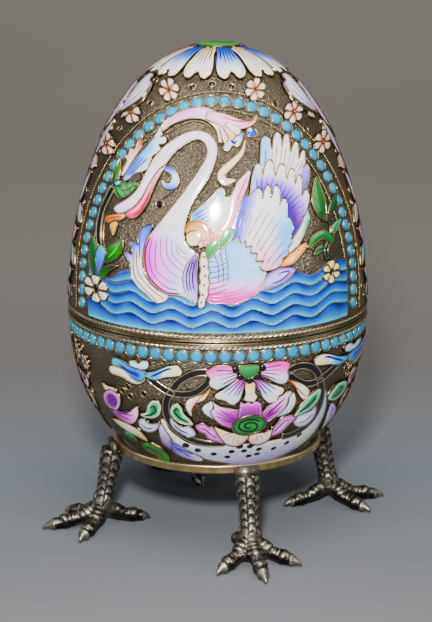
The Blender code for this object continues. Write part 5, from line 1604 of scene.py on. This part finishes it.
def back_picture(art):
    """Plainer picture on the back: a big flower on a stem over the water."""
    water(art)
    stems(art, ([(0.0, 64.0), (0.4, 68.0), (0.0, 72.0)],), 0.6)
    for s in (1, -1):
        art.leaf((s * 0.6, 64.6), (s * 12.0, 69.6), 5.0, 1,
                 [(0.0, FOREST), (0.6, GREEN), (1.0, MINT)], FOREST, 0.12 * s, veins=3)
        art.leaf((s * 0.8, 67.0), (s * 8.6, 74.4), 3.4, 1, fade(GREEN, MINT), FOREST, -0.1 * s)
        scroll = [(s * 2.0, 99.8), (s * 7.4, 99.4), (s * 12.0, 95.6), (s * 13.6, 91.0),
                  (s * 11.4, 88.6)]
        art.ribbon(scroll, [0.3, 1.3, 1.4, 1.0, 0.3], 1,
                   [(0.0, PINK, WHITE), (0.5, LILAC, WHITE), (1.0, PEACH, IVORY)])
        art.leaf((s * 15.0, 88.0), (s * 21.0, 80.0), 3.2, 1, fade(BLUE, SKY, WHITE), NAVY, 0.1 * s)
        art.leaf((s * 20.4, 78.0), (s * 23.6, 69.6), 3.0, 1, fade(GREEN, MINT), FOREST, 0.1 * s)
        small_flower(art, s * 15.4, 76.4, 2.6)
        for x, z in ((17.6, 84.6), (12.4, 83.0), (19.4, 73.0), (4.4, 94.8)):
            art.dot(s * x, z, 0.7)
    for ring, (radius, count, width, level) in enumerate(((10.6, 8, 7.0, 1), (7.4, 8, 5.0, 3))):
        for index in range(count):
            turn = 2 * pi * (index + 0.5 * ring) / count + 0.2
            root = (2.2 * cos(turn), 81.0 + 2.2 * sin(turn))
            tip = (radius * cos(turn), 81.0 + radius * sin(turn))
            stops = (fade(VIOLET, LILAC, WHITE) if ring == 0 else
                     [(0.0, MAGENTA), (0.6, ROSE), (1.0, PINK)])
            art.feather(root, tip, width, level, stops, PURPLE if ring == 0 else WINE, lines=4)
    art.dot(0.0, 81.0, 2.4, (50, 140, 70), GILT, 0.7)


def paint_egg():
    """All enamel, in pieces that follow the parts of the egg."""
    front, back, right, left = [drawn(base) for base in (panel(0.0), panel(pi), wrap(0.5 * pi),
            wrap(-0.5 * pi))]

    def top(across, back, lift=0.0):
        return from_above(across * GROW, back * GROW, lift)

    for name, pictures in (("front_picture", ((front, water), (front, swan), (front, garden),
            (front, arch_border))), ("back_picture", ((back, back_picture), (back, arch_border))),
            ("lid_sides", ((right, spandrels), (left, spandrels), (front, shoulders),
                 (back, shoulders))), ("cup_pictures", ((front, lower_picture),
            (back, lower_picture))), ("cup_sides", ((right, lower_side), (left, lower_side))),
            ("crown", ((top, crown),))):
        enamel, wires = Pile(), Pile()
        for place, picture in pictures:
            picture(Art(enamel, wires, place))
        enamel.piece(name + "_enamel", ENAMEL, "enamelled_silver")
        wires.piece(name + "_wires", SILVERED, "enamelled_silver")


# The stand.

def build_ring():
    """Plain band with bevelled edges, a painted highlight along its top edge, and small knocks."""
    pile = Pile()
    low, top, inner, outer = RING_LOW, RING_TOP, RING_INNER, RING_OUTER
    outline = [(inner, low + 0.1), (inner + 0.1, low), (outer - 0.12, low), (outer, low + 0.12),
               (outer - 0.04, low + 0.4), (outer - 0.04, top - 0.5), (outer, top - 0.36),
               (outer, top - 0.22), (outer - 0.1, top - 0.04), (outer - 0.25, top),
               (inner + 0.1, top), (inner, top - 0.1)]

    def tint(place):
        # Painted highlight: the top 0.4 mm of the band gets a much brighter colour.
        if place.z > top - 0.4:
            return (240, 228, 200)
        wear = noise.noise(place * 0.5)
        return tuple(value * (1.0 + 0.2 * wear) for value in (190, 176, 148))
    revolve(pile, outline, tint, 240)
    pile.piece("ring_band", GILDED, "gilt_band", "stand_ring")


def tube(mesh, places, radii, sides=18):
    """Closed tube through places added to a mesh, kept above the floor."""
    rings = []
    for index, place in enumerate(places):
        ahead = places[min(index + 1, len(places) - 1)] - places[max(index - 1, 0)]
        across = ahead.cross(Vector((0.0, 0.0, 1.0)))
        if across.length < 0.1 * ahead.length:
            across = Vector((0.0, 1.0, 0.0))
        across.normalize()
        rise = across.cross(ahead).normalized()
        ring = []
        for turn in turns(sides):
            point = place + radii[index] * (across * cos(turn) + rise * sin(turn))
            point.z = max(point.z, 0.0)
            ring.append(mesh.verts.new(point))
        rings.append(ring)
    for near, far in zip(rings, rings[1:]):
        for step in range(sides):
            after = (step + 1) % sides
            mesh.faces.new((near[step], near[after], far[after], far[step]))
    mesh.faces.new(rings[0])
    mesh.faces.new(rings[-1])


def fine_line(places, radii, steps=6):
    """Smoother stations between given ones."""
    out_places, out_radii = [], []
    count = len(places)
    for index in range(count - 1):
        four = [min(max(index + shift, 0), count - 1) for shift in (-1, 0, 1, 2)]
        for part in range(steps):
            t = part / steps
            w = (0.5 * (-t + 2 * t * t - t ** 3), 0.5 * (2 - 5 * t * t + 3 * t ** 3),
                 0.5 * (t + 4 * t * t - 3 * t ** 3), 0.5 * (-t * t + t ** 3))
            out_places.append(sum((places[k] * v for k, v in zip(four, w)),
                    Vector((0.0, 0.0, 0.0))))
            out_radii.append(max(0.05, sum(radii[k] * v for k, v in zip(four, w))))
    return out_places + [places[-1]], out_radii + [radii[-1]]


TOES = ((15.0, -2.0), (12.8, 52.0), (12.8, -52.0), (11.8, 183.0))


def leg_limbs():
    """Stations of the shank and the four toes, in the leg's own frame (x away from the egg)."""
    top = Vector((0.0, 0.0, RING_LOW - GAP))
    ankle = Vector((ANKLE_LEAN, 0.0, ANKLE_HEIGHT))
    shares = ((0.0, 1.0), (0.2, 1.02), (0.45, 0.9), (0.7, 0.82), (0.86, 0.84), (1.0, 0.98),
              (1.14, 0.92))
    shank = fine_line([top.lerp(ankle, share) for share, _ in shares],
                      [SHANK_RADIUS * k for _, k in shares])
    root = ankle - Vector((0.0, 0.0, 0.15 * ankle.z))
    stations = ((-0.11, 0.1, 0.9), (0.1, -0.18, 0.92), (0.3, -0.44, 1.06), (0.42, -0.6, 0.86),
                (0.56, -0.68, 0.95), (0.64, -0.71, 1.08), (0.73, -0.77, 0.82), (0.82, -0.8, 0.86),
                (0.86, -0.8, 0.62), (0.9, -0.82, 0.44), (0.96, -0.9, 0.28), (1.0, -1.0, 0.1))
    toes = []
    for reach, way in TOES:
        ahead = Vector((cos(radians(way)), sin(radians(way)), 0.0))
        toes.append(fine_line([root + ahead * reach * out + Vector((0, 0, root.z * drop))
                        for out, drop, _ in stations], [TOE_RADIUS * k for _, _, k in stations], 4))
    return shank, toes


def web(mesh, first, second, thick):
    """Skin between two toes, with a hollow front edge."""
    steps = 8
    top, under = [], []
    for row in range(steps + 1):
        out = row / steps
        high, low = [], []
        for column in range(steps + 1):
            share = column / steps
            sag = 1.0 - 0.34 * sin(pi * share) * out
            near = first[0].lerp(first[1], out * sag)
            far = second[0].lerp(second[1], out * sag)
            point = near.lerp(far, share)
            point.z -= 0.5 * sin(pi * share) * (1 - out)
            high.append(mesh.verts.new(point + Vector((0, 0, 0.5 * thick))))
            low.append(mesh.verts.new(Vector((point.x, point.y, max(point.z - 0.5 * thick, 0.02)))))
        top.append(high)
        under.append(low)
    for row in range(steps):
        for k in range(steps):
            mesh.faces.new((top[row][k], top[row + 1][k], top[row + 1][k + 1], top[row][k + 1]))
            mesh.faces.new((under[row][k], under[row][k + 1], under[row + 1][k + 1],
                    under[row + 1][k]))
        for k in (0, steps):
            mesh.faces.new((top[row][k], top[row + 1][k], under[row + 1][k], under[row][k]))
    for row in (0, steps):
        for k in range(steps):
            mesh.faces.new((top[row][k], top[row][k + 1], under[row][k + 1], under[row][k]))


def leg_body(shank, toes):
    """Even mesh of one leg, in metres: tubes and webs melted together."""
    mesh = bmesh.new()
    for places, radii in [shank] + toes:
        tube(mesh, places, radii)
    for first, second in ((0, 1), (2, 0)):
        a, b = toes[first][0], toes[second][0]
        web(mesh, (a[3], a[20]), (b[3], b[20]), 1.3)
    bmesh.ops.recalc_face_normals(mesh, faces=mesh.faces)
    data = bpy.data.meshes.new("leg_body")
    mesh.to_mesh(data)
    mesh.free()
    data.transform(Matrix.Scale(MM, 4))
    body = bpy.data.objects.new("leg_body", data)
    bpy.context.scene.collection.objects.link(body)
    cut = body.modifiers.new("even", "REMESH")
    cut.mode, cut.voxel_size = "VOXEL", 0.2 * MM
    ease = body.modifiers.new("ease", "SMOOTH")
    ease.iterations, ease.factor = 5, 0.5
    graph = bpy.context.evaluated_depsgraph_get()
    even = bpy.data.meshes.new_from_object(body.evaluated_get(graph))
    bpy.data.objects.remove(body)
    bpy.data.meshes.remove(data)
    return even


def along_limbs(spots, limbs):
    """Each spot's gap over its nearest limb's radius, which limb that is, and the place along and
    around it, with the share of its length."""
    count = len(spots)
    best, which = np.full(count, 1e9), np.zeros(count, int)
    along, around, share = np.zeros(count), np.zeros(count), np.zeros(count)
    for number, (places, radii) in enumerate(limbs):
        line = np.array([tuple(p) for p in places])
        length = np.concatenate([[0.0], np.cumsum(np.linalg.norm(np.diff(line, axis=0), axis=1))])
        for index in range(len(line) - 1):
            a, b = line[index], line[index + 1]
            ab = b - a
            t = np.clip(((spots - a) @ ab) / (ab @ ab), 0.0, 1.0)
            offset = spots - (a + t[:, None] * ab)
            gap = np.linalg.norm(offset, axis=1) / (radii[index] + 0.3)
            closer = gap < best
            best[closer] = gap[closer]
            which[closer] = number
            along[closer] = (length[index] + t * (length[index + 1] - length[index]))[closer]
            share[closer] = along[closer] / length[-1]
            ahead = ab / np.linalg.norm(ab)
            front = np.array((0.0, 0.0, 1.0) if number else (1.0, 0.0, 0.0))
            front = front - ahead * (front @ ahead)
            front /= np.linalg.norm(front)
            around[closer] = np.arctan2(offset @ np.cross(ahead, front), offset @ front)[closer]
    return best, which, along, around, share


def step_up(value, start, width):
    """Rises from 0 at start to 1 over a width, or the other way with a width below 0."""
    return np.clip((value - start) / width, 0.0, 1.0)


def sawtooth(value, peak):
    """Slow rise from 0 to 1 up to the peak in each whole step of value, then a quick fall."""
    part = value - np.floor(value)
    return step_up(part, 0.0, peak) - step_up(part, peak, 1.0 - peak)


def leg_tab(pile):
    """Flat tab that joins the leg to the ring."""
    tab = bmesh.new()
    bmesh.ops.create_cube(tab, size=1.0)
    face = GAP - SHANK_INSET
    low = Vector((face, -0.5 * TAB_WIDTH, RING_LOW - GAP - TAB_OVERLAP))
    high = Vector((face + TAB_THICK, 0.5 * TAB_WIDTH, RING_LOW + 0.5
                   * (RING_TOP - RING_LOW + TAB_HEIGHT) - GAP))
    for vert in tab.verts:
        vert.co = Vector([low[k] + (vert.co[k] + 0.5) * (high[k] - low[k]) for k in range(3)])
    bmesh.ops.bevel(tab, geom=list(tab.edges), offset=0.22, segments=2, affect="EDGES")
    tab.verts.index_update()
    places = [vert.co.copy() for vert in tab.verts]
    pile.add(places, [[v.index for v in f.verts] for f in tab.faces],
             [tuple((0.62 + 0.12 * noise.noise(p * 0.8)) * k for k in (206, 198, 182))
              for p in places])
    tab.free()


# Scales of the shank and scutes of the toes, in millimetres along them.
SCALE_COLUMNS, SCALE_PITCH, SCUTE_PITCH = 7, 2.15, 1.15
SCALES_END, SCALES_FADE = 17.0, 3.0
SCUTES_START, SCUTES_FADE = 3.4, 1.4
CLAW_START, CLAW_FADE = 0.8, 0.04


def leg_mesh():
    """One leg: scales on the shank, scutes on the toes, smooth claws, and dark grooves."""
    shank, toes = leg_limbs()
    even = leg_body(shank, toes)
    count = len(even.vertices)
    spots, normals = np.empty(count * 3, np.float32), np.empty(count * 3, np.float32)
    even.vertices.foreach_get("co", spots)
    even.vertex_normals.foreach_get("vector", normals)
    spots, normals = spots.reshape(-1, 3) / MM, normals.reshape(-1, 3)
    best, which, along, around, share = along_limbs(spots, [shank] + toes)
    on_shank = which == 0
    across = around / (2 * pi) * SCALE_COLUMNS
    column = np.round(across)
    across = across - column
    scale = sawtooth(along / SCALE_PITCH + 0.5 * (np.abs(column) % 2) - 1.5 * across ** 2, 0.86)
    groove = step_up(np.abs(across), 0.5, -0.1)
    scaled = step_up(along, SCALES_END, -SCALES_FADE)
    scute = sawtooth(along / SCUTE_PITCH + 0.25 * np.abs(around) ** 2, 0.8)
    upper = np.clip(np.cos(around) * 2.2, 0.0, 1.0)
    claw = step_up(share, CLAW_START, CLAW_FADE)
    toe = step_up(along, SCUTES_START, SCUTES_FADE) * step_up(best, 1.22, -0.2)
    height = np.where(on_shank, ((0.12 + 0.34 * scale) * (0.35 + 0.65 * groove) - 0.2) * scaled,
                      (0.26 * scute * upper - 0.08) * (1.0 - claw) * toe)
    lumps = np.array([noise.noise(Vector(p) * 0.9) for p in spots])
    height += 0.05 * lumps
    spots = spots + normals * (height * step_up(spots[:, 2], 0.0, 0.5))[:, None]
    spots[:, 2] = np.maximum(spots[:, 2], 0.0)
    relief = np.where(on_shank, scale * groove * scaled, scute * upper * (1 - claw) * toe)
    plain = np.where(on_shank, step_up(along, SCALES_END - SCALES_FADE, SCALES_FADE),
                     np.maximum(claw, 1 - toe))
    light = 0.34 + 0.56 * relief
    light = np.where(plain > 0.0, light * (1 - plain) + 0.72 * plain, light)
    light = np.where((which > 0) & (claw > 0.5), 0.98, light)
    # Painted shade: the leg is darker toward the floor, over its lowest 3 mm.
    light *= 0.72 + 0.28 * step_up(spots[:, 2], 0.0, 3.0)
    light *= 1.0 + 0.25 * lumps
    pile = Pile()
    tints = [tuple(float(v) * k for k in (196, 191, 180)) for v in light]
    pile.add([Vector(p) for p in spots.tolist()], [tuple(f.vertices) for f in even.polygons], tints)
    bpy.data.meshes.remove(even)
    leg_tab(pile)
    return pile


def build_legs():
    """Four legs that share one mesh."""
    pile = leg_mesh()
    first = None
    for name, turn in LEG_TURNS.items():
        if first is None:
            thing = first = pile.piece(name + "_cast", CAST, "cast_silver", name)
        else:
            thing = settle(bpy.data.objects.new(name + "_cast", first.data), name)
        spin = radians(turn - 90.0)
        away = Matrix.Rotation(spin, 4, "Z") @ Vector((RING_OUTER + SHANK_INSET, 0.0, 0.0))
        thing.matrix_world = Matrix.Translation(away * MM) @ Matrix.Rotation(spin, 4, "Z")


# Floor, lights and camera.

def stage_material(name, zones, rough):
    """Paper whose colour drifts from front to back, by zones of (place in metres, colour)."""
    made, tree, _ = new_material(name, Roughness=rough)
    spot = add_node(tree, "ShaderNodeNewGeometry")
    apart = add_node(tree, "ShaderNodeSeparateXYZ")
    tree.links.new(spot.outputs["Position"], apart.inputs[0])
    first, last = zones[0][0], zones[-1][0]
    scale = add_node(tree, "ShaderNodeValToRGB")
    tree.links.new(spread(tree, apart.outputs["Y"], 0.0, 1.0, first, last), scale.inputs["Fac"])
    stops = scale.color_ramp.elements
    while len(stops) < len(zones):
        stops.new(0.5)
    for stop, (place, colour) in zip(stops, zones):
        stop.position = (place - first) / (last - first)
        stop.color = (*linear(colour), 1.0)
    cloud = texture(tree, "ShaderNodeTexNoise", "Fac", Scale=3.0, Detail=2.0)
    coloured(tree, scale.outputs["Color"], spread(tree, cloud, 0.92, 1.08, 0.0, 1.0))
    return made


def build_stage():
    """Pale sweep: floor that curves up to a backdrop."""
    mesh = bmesh.new()
    rows = []
    flat, bend, wall_top, half_width, below = 0.55, 0.45, 1.8, 1.6, 0.0004
    profile = [(-1.2, 0.0), (-0.4, 0.0), (0.12, 0.0), (flat, 0.0)]
    profile += [(flat + bend * sin(a), bend - bend * cos(a))
                for a in [0.5 * pi * k / 12 for k in range(1, 13)]]
    profile += [(flat + bend, wall_top)]
    for y, z in profile:
        rows.append([mesh.verts.new((x, y, z - below)) for x in (-half_width, half_width)])
    for near, far in zip(rows, rows[1:]):
        mesh.faces.new((near[0], near[1], far[1], far[0]))
    data = bpy.data.meshes.new("sweep")
    mesh.to_mesh(data)
    mesh.free()
    data.polygons.foreach_set("use_smooth", [True] * len(data.polygons))
    data.materials.append(stage_material("paper", [(-0.12, (117, 117, 118)),
            (-0.03, (114, 116, 119)), (0.03, (117, 122, 127)), (0.14, (126, 124, 122)),
            (0.3, (152, 149, 145)), (0.55, (172, 169, 164)), (0.95, (178, 175, 169))], 0.85))
    sweep = bpy.data.objects.new("sweep", data)
    bpy.context.scene.collection.objects.link(sweep)


EGG_MIDDLE = Vector((0.0, 0.0, 0.06))


def add_light(name, place, size, power, colour):
    """Round soft light aimed at the egg's middle."""
    data = bpy.data.lights.new(name, "AREA")
    data.shape, data.size, data.energy, data.color = "DISK", size, power, colour
    lamp = bpy.data.objects.new(name, data)
    lamp.location = place
    lamp.rotation_euler = (EGG_MIDDLE - Vector(place)).to_track_quat("-Z", "Y").to_euler()
    bpy.context.scene.collection.objects.link(lamp)


def build_lights():
    """A key light near the camera, a wide one above, two weak ones at the sides, and a dim room."""
    add_light("key", (-0.014, -0.31, 0.2), 0.035, 2.2, (1.0, 0.985, 0.96))
    add_light("top", (0.0, -0.25, 0.85), 0.6, 5.2, (1.0, 0.99, 0.98))
    add_light("left", (-0.75, -0.1, 0.32), 0.4, 0.9, (0.93, 0.96, 1.0))
    add_light("right", (0.75, -0.12, 0.36), 0.4, 1.0, (1.0, 0.98, 0.95))
    world = bpy.data.worlds.new("room")
    world.use_nodes = True
    room = world.node_tree.nodes["Background"]
    room.inputs["Color"].default_value = (0.95, 0.97, 1.0, 1.0)
    room.inputs["Strength"].default_value = 0.1
    bpy.context.scene.world = world


def build_camera():
    """Camera at the photo's angle."""
    data = bpy.data.cameras.new("camera")
    data.lens = 91.5
    data.sensor_width = 36.0
    data.clip_start, data.clip_end = 0.01, 20.0
    camera = bpy.data.objects.new("camera", data)
    camera.location = (-0.0004, -0.3676, 0.1481)
    aim = Vector((-0.0004, 0.0, 0.0517)) - camera.location
    camera.rotation_euler = aim.to_track_quat("-Z", "Y").to_euler()
    bpy.context.scene.collection.objects.link(camera)
    bpy.context.scene.camera = camera


build_stage()
build_lights()
build_camera()
build_shells()
build_rims()
build_ropes()
build_beads()
build_ring()
build_legs()
paint_egg()
